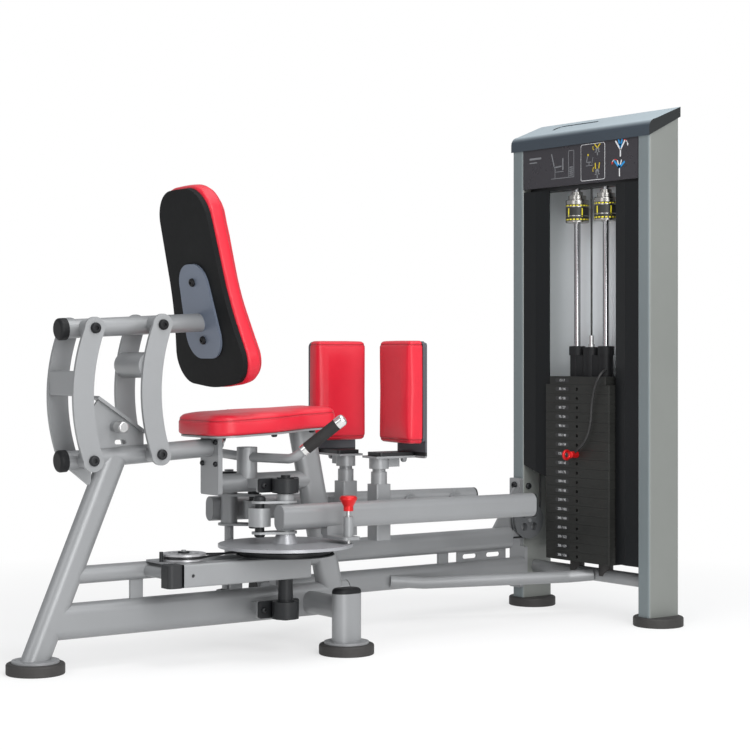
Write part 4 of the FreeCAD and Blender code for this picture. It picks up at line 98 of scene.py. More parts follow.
def lanyard():
    """Cord that hangs from the stack's head."""
    curve = bpy.data.curves.new("lanyard_route", "CURVE")
    curve.dimensions = "3D"
    curve.resolution_u = 16
    spline = curve.splines.new("NURBS")
    spline.points.add(len(LANYARD_POINTS) - 1)
    for point, place in zip(spline.points, LANYARD_POINTS):
        point.co = (*place, 1.0)
    spline.order_u = 3
    spline.use_endpoint_u = True
    route = bpy.data.objects.new("lanyard_route", curve)
    scene.collection.objects.link(route)
    line = shape_mesh(route)
    bpy.data.meshes.remove(line)
    curve.bevel_depth = LANYARD_DIAMETER / 2
    curve.bevel_resolution = 6
    curve.use_fill_caps = True
    mesh = shape_mesh(route)
    bpy.data.objects.remove(route)
    for polygon in mesh.polygons:
        polygon.use_smooth = True
    made = bpy.data.objects.new("lanyard", mesh)
    scene.collection.objects.link(made)
    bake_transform(made)
    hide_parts("pin_lanyard")
    return made


cord = lanyard()


# ---- materials ----------------------------------------------------------------------
def new_material(name, color, roughness, metallic=0.0):
    material = bpy.data.materials.new(name)
    material.use_nodes = True
    shader = material.node_tree.nodes["Principled BSDF"]
    shader.inputs["Base Color"].default_value = (*color, 1)
    shader.inputs["Roughness"].default_value = roughness
    shader.inputs["Metallic"].default_value = metallic
    return material


def node(material, kind, **values):
    made = material.node_tree.nodes.new(kind)
    for key, value in values.items():
        if key in made.inputs:
            made.inputs[key].default_value = value
        else:
            setattr(made, key, value)
    return made


def link(material, start, end):
    material.node_tree.links.new(start, end)


def shader_of(material):
    return material.node_tree.nodes["Principled BSDF"]


def coordinates(material):
    return node(material, "ShaderNodeTexCoord").outputs["Object"]


def noise(material, scale, detail=4.0, roughness=0.6):
    texture = node(material, "ShaderNodeTexNoise", Scale=scale, Detail=detail, Roughness=roughness)
    link(material, coordinates(material), texture.inputs["Vector"])
    return texture.outputs["Fac"]


def ramp(material, value, stops):
    """Colour ramp of (position, colour) stops driven by value."""
    made = node(material, "ShaderNodeValToRGB")
    elements = made.color_ramp.elements
    for i, (position, color) in enumerate(stops):
        if i < 2:
            element = elements[i]
            element.position = position
        else:
            element = elements.new(position)
        element.color = (*color, 1)
    link(material, value, made.inputs["Fac"])
    return made.outputs["Color"]


def math_node(material, operation, *inputs):
    """Result of one Math node; each input is a number or a socket."""
    made = node(material, "ShaderNodeMath")
    made.operation = operation
    for socket, value in zip(made.inputs, inputs):
        if isinstance(value, (int, float)):
            socket.default_value = value
        else:
            link(material, value, socket)
    return made.outputs["Value"]


def along(material, direction, source=None):
    """Position of the shaded point along a direction, in metres."""
    made = node(material, "ShaderNodeVectorMath")
    made.operation = "DOT_PRODUCT"
    link(material, source or coordinates(material), made.inputs[0])
    made.inputs[1].default_value = direction
    return made.outputs["Value"]


def step_between(material, value, low, high):
    """0 below low, 1 above high, straight between them."""
    made = node(material, "ShaderNodeMapRange")
    made.inputs["From Min"].default_value = low
    made.inputs["From Max"].default_value = high
    link(material, value, made.inputs["Value"])
    return made.outputs["Result"]


def blended(material, mask, below, above):
    """Colour that goes from below to above as mask goes from 0 to 1."""
    made = node(material, "ShaderNodeMix")
    made.data_type = "RGBA"
    link(material, mask, made.inputs["Factor"])
    for socket, value in ((made.inputs[6], below), (made.inputs[7], above)):
        if isinstance(value, tuple):
            socket.default_value = (*value, 1)
        else:
            link(material, value, socket)
    return made.outputs[2]


def shade(color, factor):
    return tuple(min(1.0, channel * factor) for channel in color)


def mottled(name, color, roughness, metallic=0.0, scale=6.0, spread=0.08, rough_spread=0.06,
            bump=0.0, bump_scale=400.0, bump_distance=0.0003, specular=0.5):
    """Surface whose colour and gloss drift slowly, with an optional fine bump."""
    material = new_material(name, color, roughness, metallic)
    shader = shader_of(material)
    shader.inputs["Specular IOR Level"].default_value = specular
    drift = noise(material, scale)
    link(material, ramp(material, drift, [(0.3, shade(color, 1 - spread)), (0.7, shade(color, 1 + spread))]),
         shader.inputs["Base Color"])
    gloss = node(material, "ShaderNodeMapRange")
    gloss.inputs["To Min"].default_value = roughness - rough_spread
    gloss.inputs["To Max"].default_value = roughness + rough_spread
    link(material, noise(material, scale * 7), gloss.inputs["Value"])
    link(material, gloss.outputs["Result"], shader.inputs["Roughness"])
    if bump:
        bumped = node(material, "ShaderNodeBump", Strength=bump, Distance=bump_distance)
        link(material, noise(material, bump_scale, 3.0), bumped.inputs["Height"])
        link(material, bumped.outputs["Normal"], shader.inputs["Normal"])
    return material


def tinted(material, mask, factor):
    """Multiplies a material's base colour by factor where mask is 1."""
    shader = shader_of(material)
    base = shader.inputs["Base Color"].links[0].from_socket
    scaled = node(material, "ShaderNodeMix")
    scaled.data_type = "RGBA"
    scaled.blend_type = "MULTIPLY"
    link(material, mask, scaled.inputs["Factor"])
    link(material, base, scaled.inputs[6])
    scaled.inputs[7].default_value = (*factor, 1)
    link(material, scaled.outputs[2], shader.inputs["Base Color"])


STITCHES_PER_METRE = 170.0
STITCH_GAP = 0.4            # share of a stitch's length that stays bare
THREAD_HALF = 0.0005


def seam_mask(material, seams, half):
    """1 on the planes of the seams, given as (normal, offset), fading out over half."""
    mask = None
    for normal, offset in seams:
        gap = math_node(material, "ABSOLUTE",
                        math_node(material, "SUBTRACT", along(material, normal), offset))
        line = math_node(material, "SUBTRACT", 1.0, step_between(material, gap, half * 0.35, half))
        mask = line if mask is None else math_node(material, "MAXIMUM", mask, line)
    return mask


def stitch_mask(material, seams, run, reach):
    """Short dashes beside each seam plane, repeated along the direction run."""
    dash = math_node(material, "GREATER_THAN",
                     math_node(material, "FRACT",
                               math_node(material, "MULTIPLY", along(material, run), STITCHES_PER_METRE)),
                     STITCH_GAP)
    mask = None
    for normal, offset in seams:
        gap = math_node(material, "ABSOLUTE",
                        math_node(material, "SUBTRACT", along(material, normal), offset + reach))
        row = math_node(material, "LESS_THAN", gap, THREAD_HALF)
        mask = row if mask is None else math_node(material, "MAXIMUM", mask, row)
    return math_node(material, "MULTIPLY", mask, dash)


def vinyl(name, color, seams=(), run=(1, 1, 0), reach=-0.0035):
    """Grained upholstery vinyl with fine pores, slow creases and stitched seams; the seam grooves are
    darkened with painted shade.
    """
    material = mottled(name, color, 0.40, scale=9.0, spread=0.04, specular=0.36)
    shader = shader_of(material)
    shader.inputs["Sheen Weight"].default_value = 0.05
    shader.inputs["Coat Weight"].default_value = 0.15
    shader.inputs["Coat Roughness"].default_value = 0.35
    cells = node(material, "ShaderNodeTexVoronoi", Scale=420.0)
    cells.feature = "DISTANCE_TO_EDGE"
    link(material, coordinates(material), cells.inputs["Vector"])
    grain = node(material, "ShaderNodeBump", Strength=0.25, Distance=0.0004)
    link(material, cells.outputs["Distance"], grain.inputs["Height"])
    slow = node(material, "ShaderNodeBump", Strength=0.18, Distance=0.003)
    link(material, noise(material, 14.0, 2.0), slow.inputs["Height"])
    link(material, grain.outputs["Normal"], slow.inputs["Normal"])
    last = slow
    if seams:
        groove = seam_mask(material, seams, 0.0018)
        stitches = stitch_mask(material, seams, run, reach)
        # Painted shade: the seam groove's colour is darkened.
        tinted(material, groove, (0.62, 0.50, 0.54))
        tinted(material, stitches, (0.70, 0.62, 0.65))
        last = node(material, "ShaderNodeBump", Strength=0.8, Distance=0.0015)
        link(material, math_node(material, "SUBTRACT", stitches, groove), last.inputs["Height"])
        link(material, slow.outputs["Normal"], last.inputs["Normal"])
    link(material, last.outputs["Normal"], shader.inputs["Normal"])
    return material


def axis_distance(material, x, y):
    """Distance of the shaded point from the upright axis through (x, y)."""
    side = math_node(material, "POWER", math_node(material, "SUBTRACT", along(material, (1, 0, 0)), x), 2.0)
    across = math_node(material, "POWER", math_node(material, "SUBTRACT", along(material, (0, 1, 0)), y), 2.0)
    return math_node(material, "SQRT", math_node(material, "ADD", side, across))


def within(material, value, low, high):
    """1 between low and high, 0 outside."""
    return math_node(material, "MULTIPLY", math_node(material, "GREATER_THAN", value, low),
                     math_node(material, "LESS_THAN", value, high))


SILVER = (0.262, 0.268, 0.274)
BLACK = (0.013, 0.014, 0.0155)
RED = (0.56, 0.007, 0.024)
MIDDLE_Y = 0.0245
LEVER_REAR = -0.5862
KNOB_FOOT = 0.3808
TOP_BAR_FOOT = 1.285
CARRIER_PLATE = -0.2480
PAD_SHELF_FOOT = 0.5098
PAD_SHELF_TOP = 0.5205
GRAPHITE = (0.075, 0.079, 0.090)


def handle_material():
    """Silver bar with polished tips and collars at both ends of its grips."""
    material = mottled("handle_paint", SILVER, 0.38, 0.35, 3.0, 0.04, 0.04, 0.12, 1400.0)
    shader = shader_of(material)
    split = node(material, "ShaderNodeSeparateXYZ")
    link(material, coordinates(material), split.inputs["Vector"])
    folded = node(material, "ShaderNodeCombineXYZ")
    link(material, split.outputs["X"], folded.inputs["X"])
    link(material, split.outputs["Z"], folded.inputs["Z"])
    middle = (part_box("handle_bar")[0][1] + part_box("handle_bar")[1][1]) / 2
    off_middle = math_node(material, "SUBTRACT", split.outputs["Y"], middle)
    link(material, math_node(material, "ABSOLUTE", off_middle), folded.inputs["Y"])
    reach = along(material, GRIP_DIRECTION, folded.outputs["Vector"])
    polished = math_node(material, "GREATER_THAN", reach, GRIP_START)
    base = shader.inputs["Base Color"].links[0].from_socket
    link(material, blended(material, polished, base, (0.75, 0.75, 0.74)), shader.inputs["Base Color"])
    link(material, math_node(material, "ADD", 0.35, math_node(material, "MULTIPLY", polished, 0.6)),
         shader.inputs["Metallic"])
    link(material, math_node(material, "SUBTRACT", 0.38, math_node(material, "MULTIPLY", polished, 0.20)),
         shader.inputs["Roughness"])
    return material


GRIP_DIRECTION = (0.5763, 0.5288, 0.6179)
GRIP_TIP = Vector((0.729 - 0.91225, 0.284, 0.6225)).dot(Vector(GRIP_DIRECTION))
GRIP_START = GRIP_TIP - 0.134


def add_weight_material(name, piece):
    """Bright steel drum wrapped in a black band with yellow dashed rings."""
    material = mottled(name, (0.40, 0.39, 0.37), 0.30, 1.0, 12.0, 0.06, 0.06, 0.2, 400.0)
    shader = shader_of(material)
    low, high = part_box(piece)
    x = (low[0] + high[0]) / 2
    y = (low[1] + high[1]) / 2
    height = along(material, (0, 0, 1))
    outside = math_node(material, "GREATER_THAN", axis_distance(material, x, y), 0.0345)
    wrap = math_node(material, "MULTIPLY", outside, within(material, height, low[2] + 0.006, low[2] + 0.056))
    split = node(material, "ShaderNodeSeparateXYZ")
    link(material, coordinates(material), split.inputs["Vector"])
    turn = math_node(material, "ARCTAN2", math_node(material, "SUBTRACT", split.outputs["Y"], y),
                     math_node(material, "SUBTRACT", split.outputs["X"], x))
    dash = math_node(material, "GREATER_THAN",
                     math_node(material, "FRACT", math_node(material, "MULTIPLY", turn, 3.2)), 0.35)
    lower = within(material, height, low[2] + 0.008, low[2] + 0.012)
    upper = within(material, height, low[2] + 0.050, low[2] + 0.054)
    rings = math_node(material, "MULTIPLY", math_node(material, "ADD", lower, upper), dash)
    post = within(material, math_node(material, "FRACT", math_node(material, "MULTIPLY", turn, 0.8)),
                  0.46, 0.54)
    posts = math_node(material, "MULTIPLY", post, within(material, height, low[2] + 0.018, low[2] + 0.044))
    marks = math_node(material, "MULTIPLY", math_node(material, "MAXIMUM", rings, posts), wrap)
    base = shader.inputs["Base Color"].links[0].from_socket
    wrapped = blended(material, wrap, base, (0.014, 0.015, 0.014))
    link(material, blended(material, marks, wrapped, (0.72, 0.62, 0.02)), shader.inputs["Base Color"])
    link(material, math_node(material, "SUBTRACT", 1.0, wrap), shader.inputs["Metallic"])
    link(material, math_node(material, "ADD", 0.24, math_node(material, "MULTIPLY", wrap, 0.2)),
         shader.inputs["Roughness"])
    return material


def partly(name, color, roughness, metallic, direction, limit, other, other_roughness, other_metallic):
    """Paint that turns into another one where the position along direction passes limit."""
    material = mottled(name, color, roughness, metallic, 5.0, 0.05, 0.0, 0.14, 1200.0)
    shader = shader_of(material)
    mask = math_node(material, "GREATER_THAN", along(material, direction), limit)
    base = shader.inputs["Base Color"].links[0].from_socket
    link(material, blended(material, mask, base, other), shader.inputs["Base Color"])
    for socket, below, above in (("Roughness", roughness, other_roughness),
                                 ("Metallic", metallic, other_metallic)):
        value = math_node(material, "ADD", below, math_node(material, "MULTIPLY", mask, above - below))
        link(material, value, shader.inputs[socket])
    return material


PLUG_REAR = -0.3135         # the plug in an arm's rear end, along the machine
PLUG_FRONT = -0.2965
PLUG_INNER = 0.152          # from the centre plane out to the plug


def rear_plug_material(name):
    """Black fittings whose plug in the arm's rear end is painted like the arm."""
    material = mottled(name, BLACK, 0.42, 0.0, 4.0, 0.10, 0.05, 0.15, 1200.0, specular=0.30)
    shader = shader_of(material)
    place = along(material, (1, 0, 0))
    across = math_node(material, "ABSOLUTE",
                       math_node(material, "SUBTRACT", along(material, (0, 1, 0)), MIDDLE_Y))
    plug = math_node(material, "MULTIPLY", within(material, place, PLUG_REAR, PLUG_FRONT),
                     math_node(material, "GREATER_THAN", across, PLUG_INNER))
    base = shader.inputs["Base Color"].links[0].from_socket
    link(material, blended(material, plug, base, shade(SILVER, 0.8)), shader.inputs["Base Color"])
    return material


def pad_bracket_material(name):
    """Silver hub and arm, black shelf on it, and a graphite plate and board above."""
    material = mottled(name, SILVER, 0.40, 0.30, 5.0, 0.05, 0.04, 0.14, 1200.0)
    shader = shader_of(material)
    height = along(material, UP)
    base = shader.inputs["Base Color"].links[0].from_socket
    shelf = blended(material, math_node(material, "GREATER_THAN", height, PAD_SHELF_FOOT), base, BLACK)
    plate = blended(material, math_node(material, "GREATER_THAN", height, PAD_SHELF_TOP), shelf, GRAPHITE)
    link(material, plate, shader.inputs["Base Color"])
    return material


def cover_material(name, color, side_shade):
    """Moulded grey plastic; the side face and the underside lip are darkened by the way they face, which is
    painted shade.
    """
    material = mottled(name, color, 0.46, 0.05, 4.0, 0.04, 0.04, 0.25, 900.0)
    normal = node(material, "ShaderNodeTexCoord").outputs["Normal"]
    facing = along(material, (0, -1, 0), normal)
    # Painted shade: the side face that looks towards -Y is darkened.
    tinted(material, step_between(material, facing, 0.6, 0.8), side_shade)
    # Painted shade: the faces that look forwards are darkened into a dark lip.
    front = along(material, (-1, 0, 0), normal)
    tinted(material, step_between(material, front, 0.45, 0.95), (0.085, 0.10, 0.122))
    return material


def column_material():
    """Painted column; its narrow front face is made cooler and darker by the way it faces, which is painted
    shade.
    """
    material = mottled("column_paint", (0.195, 0.205, 0.192), 0.42, 0.15, 3.0, 0.03, 0.04, 0.14, 1400.0)
    normal = node(material, "ShaderNodeTexCoord").outputs["Normal"]
    front = along(material, (-1, 0, 0), normal)
    # Painted shade: the faces that look to the front are made darker and cooler.
    tinted(material, step_between(material, front, 0.4, 0.8), (0.80, 0.90, 1.0))
    return material


materials = {
    "silver_paint": mottled("silver_paint", SILVER, 0.40, 0.30, 3.0, 0.04, 0.04, 0.12, 1400.0),
    # The last colour is the painted shade that darkens the cover's side face.
    "silver_plastic": cover_material("silver_plastic", (0.35, 0.415, 0.45), (0.022, 0.023, 0.023)),
    "red_vinyl": vinyl("red_vinyl", RED),
    "black_plastic": mottled("black_plastic", (0.010, 0.0105, 0.0115), 0.50, 0.0, 8.0, 0.15, 0.06, 0.35,
                             900.0, specular=0.20),
    "black_paint": mottled("black_paint", BLACK, 0.42, 0.0, 4.0, 0.10, 0.05, 0.15, 1200.0,
                           specular=0.30),
    "rubber": mottled("rubber", (0.030, 0.028, 0.027), 0.66, 0.0, 12.0, 0.25, 0.08, 0.4, 600.0),
    "chrome": mottled("chrome", (0.38, 0.38, 0.39), 0.14, 1.0, 5.0, 0.03, 0.03),
    "steel": mottled("steel", (0.50, 0.50, 0.50), 0.32, 0.9, 10.0, 0.08, 0.08, 0.2, 500.0),
    "plate_paint": mottled("plate_paint", (0.018, 0.0185, 0.017), 0.52, 0.0, 10.0, 0.20, 0.08, 0.5, 300.0,
                           0.0008, 0.25),
    "placard_print": mottled("placard_print", (0.033, 0.031, 0.036), 0.28, 0.0, 3.0, 0.05, 0.03, 0.15, 900.0,
                             specular=0.35),
    "black_cord": mottled("black_cord", (0.022, 0.022, 0.022), 0.55, 0.0, 40.0, 0.2, 0.05, 0.6, 900.0),
    "cable_jacket": mottled("cable_jacket", (0.015, 0.015, 0.016), 0.35, 0.0, 20.0, 0.1, 0.04),
    "red_anodised": mottled("red_anodised", (0.60, 0.010, 0.012), 0.30, 0.45, 12.0, 0.05, 0.05),
}
special = {
    "handle_bar": handle_material(),
    "add_weight_left": add_weight_material("add_weight_left_steel", "add_weight_left"),
    "add_weight_right": add_weight_material("add_weight_right_steel", "add_weight_right"),
    "tower_columns": column_material(),
    # Painted light: the back panel gets a far lighter colour than its own silver grey, standing in for light
    # in the shaded tower bay.
    "tower_back_panel": mottled("panel_paint_with_painted_light", (0.80, 0.84, 0.86), 0.45, 0.0, 3.0, 0.02, 0.03, 0.1, 1400.0),
    "range_dial": mottled("dial_paint", (0.330, 0.335, 0.350), 0.36, 0.4, 5.0, 0.05, 0.05, 0.15, 900.0),
    "back_carrier": partly("carrier_paint", SILVER, 0.40, 0.30, BACK_OUT, CARRIER_PLATE,
                           (0.135, 0.162, 0.215), 0.42, 0.20),
    "cable_cam": mottled("cam_paint", BLACK, 0.42, 0.0, 4.0, 0.10, 0.05, 0.15, 1200.0, specular=0.30),
    "stop_lever": partly("lever_paint", SILVER, 0.40, 0.30, (-1, 0, 0), -LEVER_REAR, BLACK, 0.5, 0.0),
    "range_pin": partly("range_pin_paint", (0.45, 0.45, 0.45), 0.32, 0.9, UP, KNOB_FOOT,
                        (0.60, 0.010, 0.012), 0.30, 0.45),
    "tower_crossbars": partly("crossbar_paint", SILVER, 0.40, 0.30, UP, TOP_BAR_FOOT, BLACK, 0.42, 0.0),
    "rear_pulley": mottled("aluminium", (0.42, 0.42, 0.43), 0.34, 0.7, 8.0, 0.05, 0.05, 0.1, 600.0),
    "tower_pulley": mottled("pulley_grey", (0.12, 0.125, 0.13), 0.45, 0.2, 8.0, 0.05, 0.05, 0.1, 600.0),
    "right_arm_fittings": rear_plug_material("right_fittings_paint"),
    "left_arm_fittings": rear_plug_material("left_fittings_paint"),
    "right_pad_bracket": pad_bracket_material("right_bracket_paint"),
    "left_pad_bracket": pad_bracket_material("left_bracket_paint"),
    "handle_grips": mottled("grip_rubber", (0.020, 0.019, 0.019), 0.66, 0.0, 12.0, 0.2, 0.08, 0.4, 600.0,
                            specular=0.25),
    "back_board": mottled("board_plastic", (0.008, 0.0085, 0.009), 0.58, 0.0, 8.0, 0.15, 0.05, 0.3, 900.0,
                          specular=0.10),
    "tower_shrouds": mottled("shroud_paint", (0.006, 0.007, 0.008), 0.50, 0.0, 3.0, 0.05, 0.05, 0.15, 1400.0,
                             specular=0.2),
}
for entry in frame["record"]["subparts"]:
    piece = nodes[entry["node"]]
    piece.data.materials.clear()
    piece.data.materials.append(special.get(entry["node"]) or materials[entry["material_slot"]])
cord.data.materials.append(materials["black_cord"])


# ---- cushions -----------------------------------------------------------------------
DRAWN_SHARE = 0.30
EVENING_ROUNDS = 24
SEAT_RISE = math.radians(2.4)
SEAT_UP = Vector((-math.sin(SEAT_RISE), 0, math.cos(SEAT_RISE)))
PAD_RIGHT_OUT = Vector((-math.cos(math.radians(4)), math.sin(math.radians(4)), 0))
PAD_LEFT_OUT = Vector((-math.sin(math.radians(4)), -math.cos(math.radians(4)), 0))


def span(piece, direction):
    """Lowest and highest place of a piece's vertices along a direction."""
    places = [vertex.co.dot(direction) for vertex in piece.data.vertices]
    return min(places), max(places)


def baked(piece):
    """Applies a piece's modifiers to its mesh."""
    graph = bpy.context.evaluated_depsgraph_get()
    graph.update()
    mesh = bpy.data.meshes.new_from_object(piece.evaluated_get(graph), depsgraph=graph)
    piece.modifiers.clear()
    piece.vertex_groups.clear()
    piece.data = mesh


def skin_copy(node_name, name):
    """Copy of a CAD cushion's mesh as one welded skin."""
    mesh = nodes[node_name].data.copy()
    mesh.materials.clear()
    made = bpy.data.objects.new(name, mesh)
    scene.collection.objects.link(made)
    work = bmesh.new()
    work.from_mesh(mesh)
    bmesh.ops.remove_doubles(work, verts=work.verts, dist=0.00005)
    work.to_mesh(mesh)
    work.free()
    return made


def remeshed(piece, voxel):
    remesh = piece.modifiers.new("remesh", "REMESH")
    remesh.mode = "VOXEL"
    remesh.voxel_size = voxel
    baked(piece)


def drawn_in(piece, out, amount, hold):
    """Moves the skin inwards by amount, fading to nothing at the face that rests on its board."""
    low, _ = span(piece, out)
    moves = []
    for vertex in piece.data.vertices:
        depth = vertex.co.dot(out) - low
        moves.append(vertex.normal * (-amount * min(1.0, depth / hold)))
    for vertex, move in zip(piece.data.vertices, moves):
        vertex.co += move


def evened(piece, moves, rounds):
    """Spreads each vertex's move over its neighbours, so the skin swells without creases."""
    edges = numpy.empty(2 * len(piece.data.edges), dtype=numpy.int32)
    piece.data.edges.foreach_get("vertices", edges)
    edges = edges.reshape(-1, 2)
    count = len(moves)
    neighbours = numpy.bincount(edges.ravel(), minlength=count)
    for _ in range(rounds):
        spread = numpy.empty_like(moves)
        for axis in range(3):
            spread[:, axis] = (numpy.bincount(edges[:, 0], moves[edges[:, 1], axis], count)
                               + numpy.bincount(edges[:, 1], moves[edges[:, 0], axis], count))
        moves = (moves + spread / neighbours[:, None]) / 2
    return moves


CLOTH_FRAMES = 20


def inflated(piece, out, pressure, cap, hold):
    """Presses air into the skin; the face on the board stays where it is."""
    low, _ = span(piece, out)
    held = [vertex.index for vertex in piece.data.vertices if vertex.co.dot(out) - low < hold]
    before = [vertex.co.copy() for vertex in piece.data.vertices]
    group = piece.vertex_groups.new(name="held")
    group.add(held, 1.0, "REPLACE")
    cloth = piece.modifiers.new("cloth", "CLOTH")
    settings = cloth.settings
    settings.quality = 5
    settings.mass = 0.3
    settings.tension_stiffness = 40.0
    settings.compression_stiffness = 40.0
    settings.shear_stiffness = 8.0
    settings.bending_stiffness = 12.0
    settings.vertex_group_mass = "held"
    settings.use_pressure = True
    settings.uniform_pressure_force = pressure
    settings.effector_weights.gravity = 0.0
    cloth.point_cache.frame_start = 1
    cloth.point_cache.frame_end = CLOTH_FRAMES
    for step in range(1, CLOTH_FRAMES + 1):
        scene.frame_set(step)
    baked(piece)
    scene.frame_set(1)
    moves = numpy.array([vertex.co - start for vertex, start in zip(piece.data.vertices, before)])
    longest = numpy.maximum(1.0, numpy.linalg.norm(moves, axis=1) / cap)
    moves = evened(piece, moves / longest[:, None], EVENING_ROUNDS)
    for vertex, start, move in zip(piece.data.vertices, before, moves):
        vertex.co = start + Vector(move)


def grooved(piece, seams, depth, half):
    """Pulls the skin in along each seam plane."""
    moves = []
    for vertex in piece.data.vertices:
        pull = 0.0
        for normal, offset in seams:
            gap = (vertex.co.dot(normal) - offset) / half
            pull = max(pull, math.exp(-gap * gap))
        moves.append(vertex.normal * (-depth * pull))
    for vertex, move in zip(piece.data.vertices, moves):
        vertex.co += move


def rounded_mesh(piece, levels):
    smoother = piece.modifiers.new("rounding", "SUBSURF")
    smoother.levels = levels
    smoother.render_levels = levels
    baked(piece)
    for polygon in piece.data.polygons:
        polygon.use_smooth = True


def cushion(node_name, name, body, out, color, seam_rises, seam_axis, run, cap, voxel=0.005):
    """Upholstered pad in the place of a CAD cushion, with its seams sewn in."""
    piece = skin_copy(node_name, name)
    low, high = span(piece, seam_axis)
    seams = [(tuple(seam_axis), high + rise if rise < 0 else low + rise) for rise in seam_rises]
    remeshed(piece, voxel)
    drawn_in(piece, out, cap * DRAWN_SHARE, 0.012)
    inflated(piece, out, 4.0, cap, 0.006)
    rounded_mesh(piece, 1)
    grooved(piece, [(Vector(normal), offset) for normal, offset in seams], 0.0016, 0.0032)
    piece.data.materials.append(vinyl(name + "_vinyl", color, seams, run))
    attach(piece, body)
    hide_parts(node_name)
    return piece


cushion("back_cushion", "back_upholstery", "back", BACK_OUT, RED, (-0.012,), BACK_OUT,
        tuple(BACK_UP + Vector((0, 1, 0))), 0.0045)
cushion("seat_cushion", "seat_upholstery", "frame", SEAT_UP, RED, (-0.015,), SEAT_UP,
        (1, 1, 0), 0.005)
cushion("right_pad_cushion", "right_pad_upholstery", "right_pad", PAD_RIGHT_OUT, RED, (-0.011, 0.011), UP,
        (1, 1, 0), 0.004)
cushion("left_pad_cushion", "left_pad_upholstery", "left_pad", PAD_LEFT_OUT, RED, (-0.011, 0.011), UP,
        (1, 1, 0), 0.004)


# ---- printed marks ------------------------------------------------------------------
def flat_marks(name, shapes, front, thickness, material, body, to_plane):
    """Thin plates cut to the given outlines, lying on a flat face."""
    work = bmesh.new()
    for outline in shapes:
        corners = [work.verts.new(to_plane(a, b, front)) for a, b in outline]
        face = work.faces.new(corners)
        grown = bmesh.ops.extrude_face_region(work, geom=[face])
        for item in grown["geom"]:
            if isinstance(item, bmesh.types.BMVert):
                item.co.x -= thickness
    bmesh.ops.recalc_face_normals(work, faces=work.faces)
    mesh = bpy.data.meshes.new(name)
    work.to_mesh(mesh)
    work.free()
    made = bpy.data.objects.new(name, mesh)
    scene.collection.objects.link(made)
    mesh.materials.append(material)
    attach(made, body)
    return made


def line_mark(start, end, width):
    """Outline of a straight stroke."""
    a = Vector(start)
    b = Vector(end)
    side = (b - a).normalized().orthogonal() * (width / 2)
    return [tuple(a + side), tuple(b + side), tuple(b - side), tuple(a - side)]


def stadium_mark(x, y, long, tall, steps=10):
    """Outline of a pill shape."""
    points = []
    radius = tall / 2
    for side, start in ((1, -90), (-1, 90)):
        for i in range(steps + 1):
            turn = math.radians(start + 180 * i / steps)
            points.append((x + side * (long / 2 - radius) + radius * math.cos(turn),
                           y + radius * math.sin(turn)))
    return points


def disc_mark(x, y, radius, steps=24):
    return [(x + radius * math.cos(2 * math.pi * i / steps), y + radius * math.sin(2 * math.pi * i / steps))
            for i in range(steps)]


def arc_mark(x, y, radius, width, start, end, steps=12):
    """Outline of a curved stroke."""
    turns = [math.radians(start + (end - start) * i / steps) for i in range(steps + 1)]
    outer = [(x + (radius + width / 2) * math.cos(t), y + (radius + width / 2) * math.sin(t)) for t in turns]
    inner = [(x + (radius - width / 2) * math.cos(t), y + (radius - width / 2) * math.sin(t)) for t in turns]
    return outer + inner[::-1]


def arrow_mark(tip, turn, size):
    """Outline of an arrow head that points along turn, in degrees."""
    direction = Vector((math.cos(math.radians(turn)), math.sin(math.radians(turn))))
    side = Vector((-direction.y, direction.x)) * size * 0.5
    base = Vector(tip) - direction * size
    return [tuple(tip), tuple(base + side), tuple(base - side)]


def print_color(name, color):
    return mottled(name, color, 0.38, 0.0, 30.0, 0.04, 0.03, 0.1, 1200.0)


WHITE_PRINT = print_color("print_white", (0.62, 0.63, 0.64))
BLUE_PRINT = print_color("print_blue", (0.02, 0.24, 0.55))
RED_PRINT = print_color("print_red", (0.48, 0.03, 0.03))
YELLOW_PRINT = print_color("print_yellow", (0.55, 0.42, 0.02))
GREY_PRINT = print_color("print_grey", (0.16, 0.165, 0.175))
LABEL_BLACK = mottled("label_black", (0.006, 0.006, 0.007), 0.30, 0.0, 20.0, 0.1, 0.03)

PLACARD_LOW, PLACARD_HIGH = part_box("placard")


def placard_plane(p, q, front):
    """Point of the placard's face, p mm from its left edge and q mm up from its foot."""
    return (front, PLACARD_HIGH[1] - p / 1000, PLACARD_LOW[2] + q / 1000)


def placard_print(name, shapes, material, rise=0.0003):
    """Flat marks in one colour on the placard's face, given in millimetres."""
    flat_marks(name, shapes, PLACARD_LOW[0] - 0.00005, rise, material, "frame",
               placard_plane)


def leg_pair(x, y, spread, height, width, stem):
    """A stylised pair of legs seen from above: two strokes that open upwards from a hub."""
    return [line_mark((x, y), (x - spread, y + height), width),
            line_mark((x, y), (x + spread, y + height), width),
            line_mark((x, y + 2), (x, y - stem), width)]


def rounded_frame(x0, x1, y0, y1, radius, width):
    """Strokes of a rectangle with round corners."""
    return [
        line_mark((x0 + radius, y1), (x1 - radius, y1), width),
        line_mark((x0 + radius, y0), (x1 - radius, y0), width),
        line_mark((x1, y0 + radius), (x1, y1 - radius), width),
        line_mark((x0, y0 + radius), (x0, y1 - radius), width * 0.5),
        arc_mark(x1 - radius, y1 - radius, radius, width, 0, 90, 6),
        arc_mark(x1 - radius, y0 + radius, radius, width, 270, 360, 6),
        arc_mark(x0 + radius, y1 - radius, radius, width, 90, 180, 6),
        arc_mark(x0 + radius, y0 + radius, radius, width, 180, 270, 6),
    ]


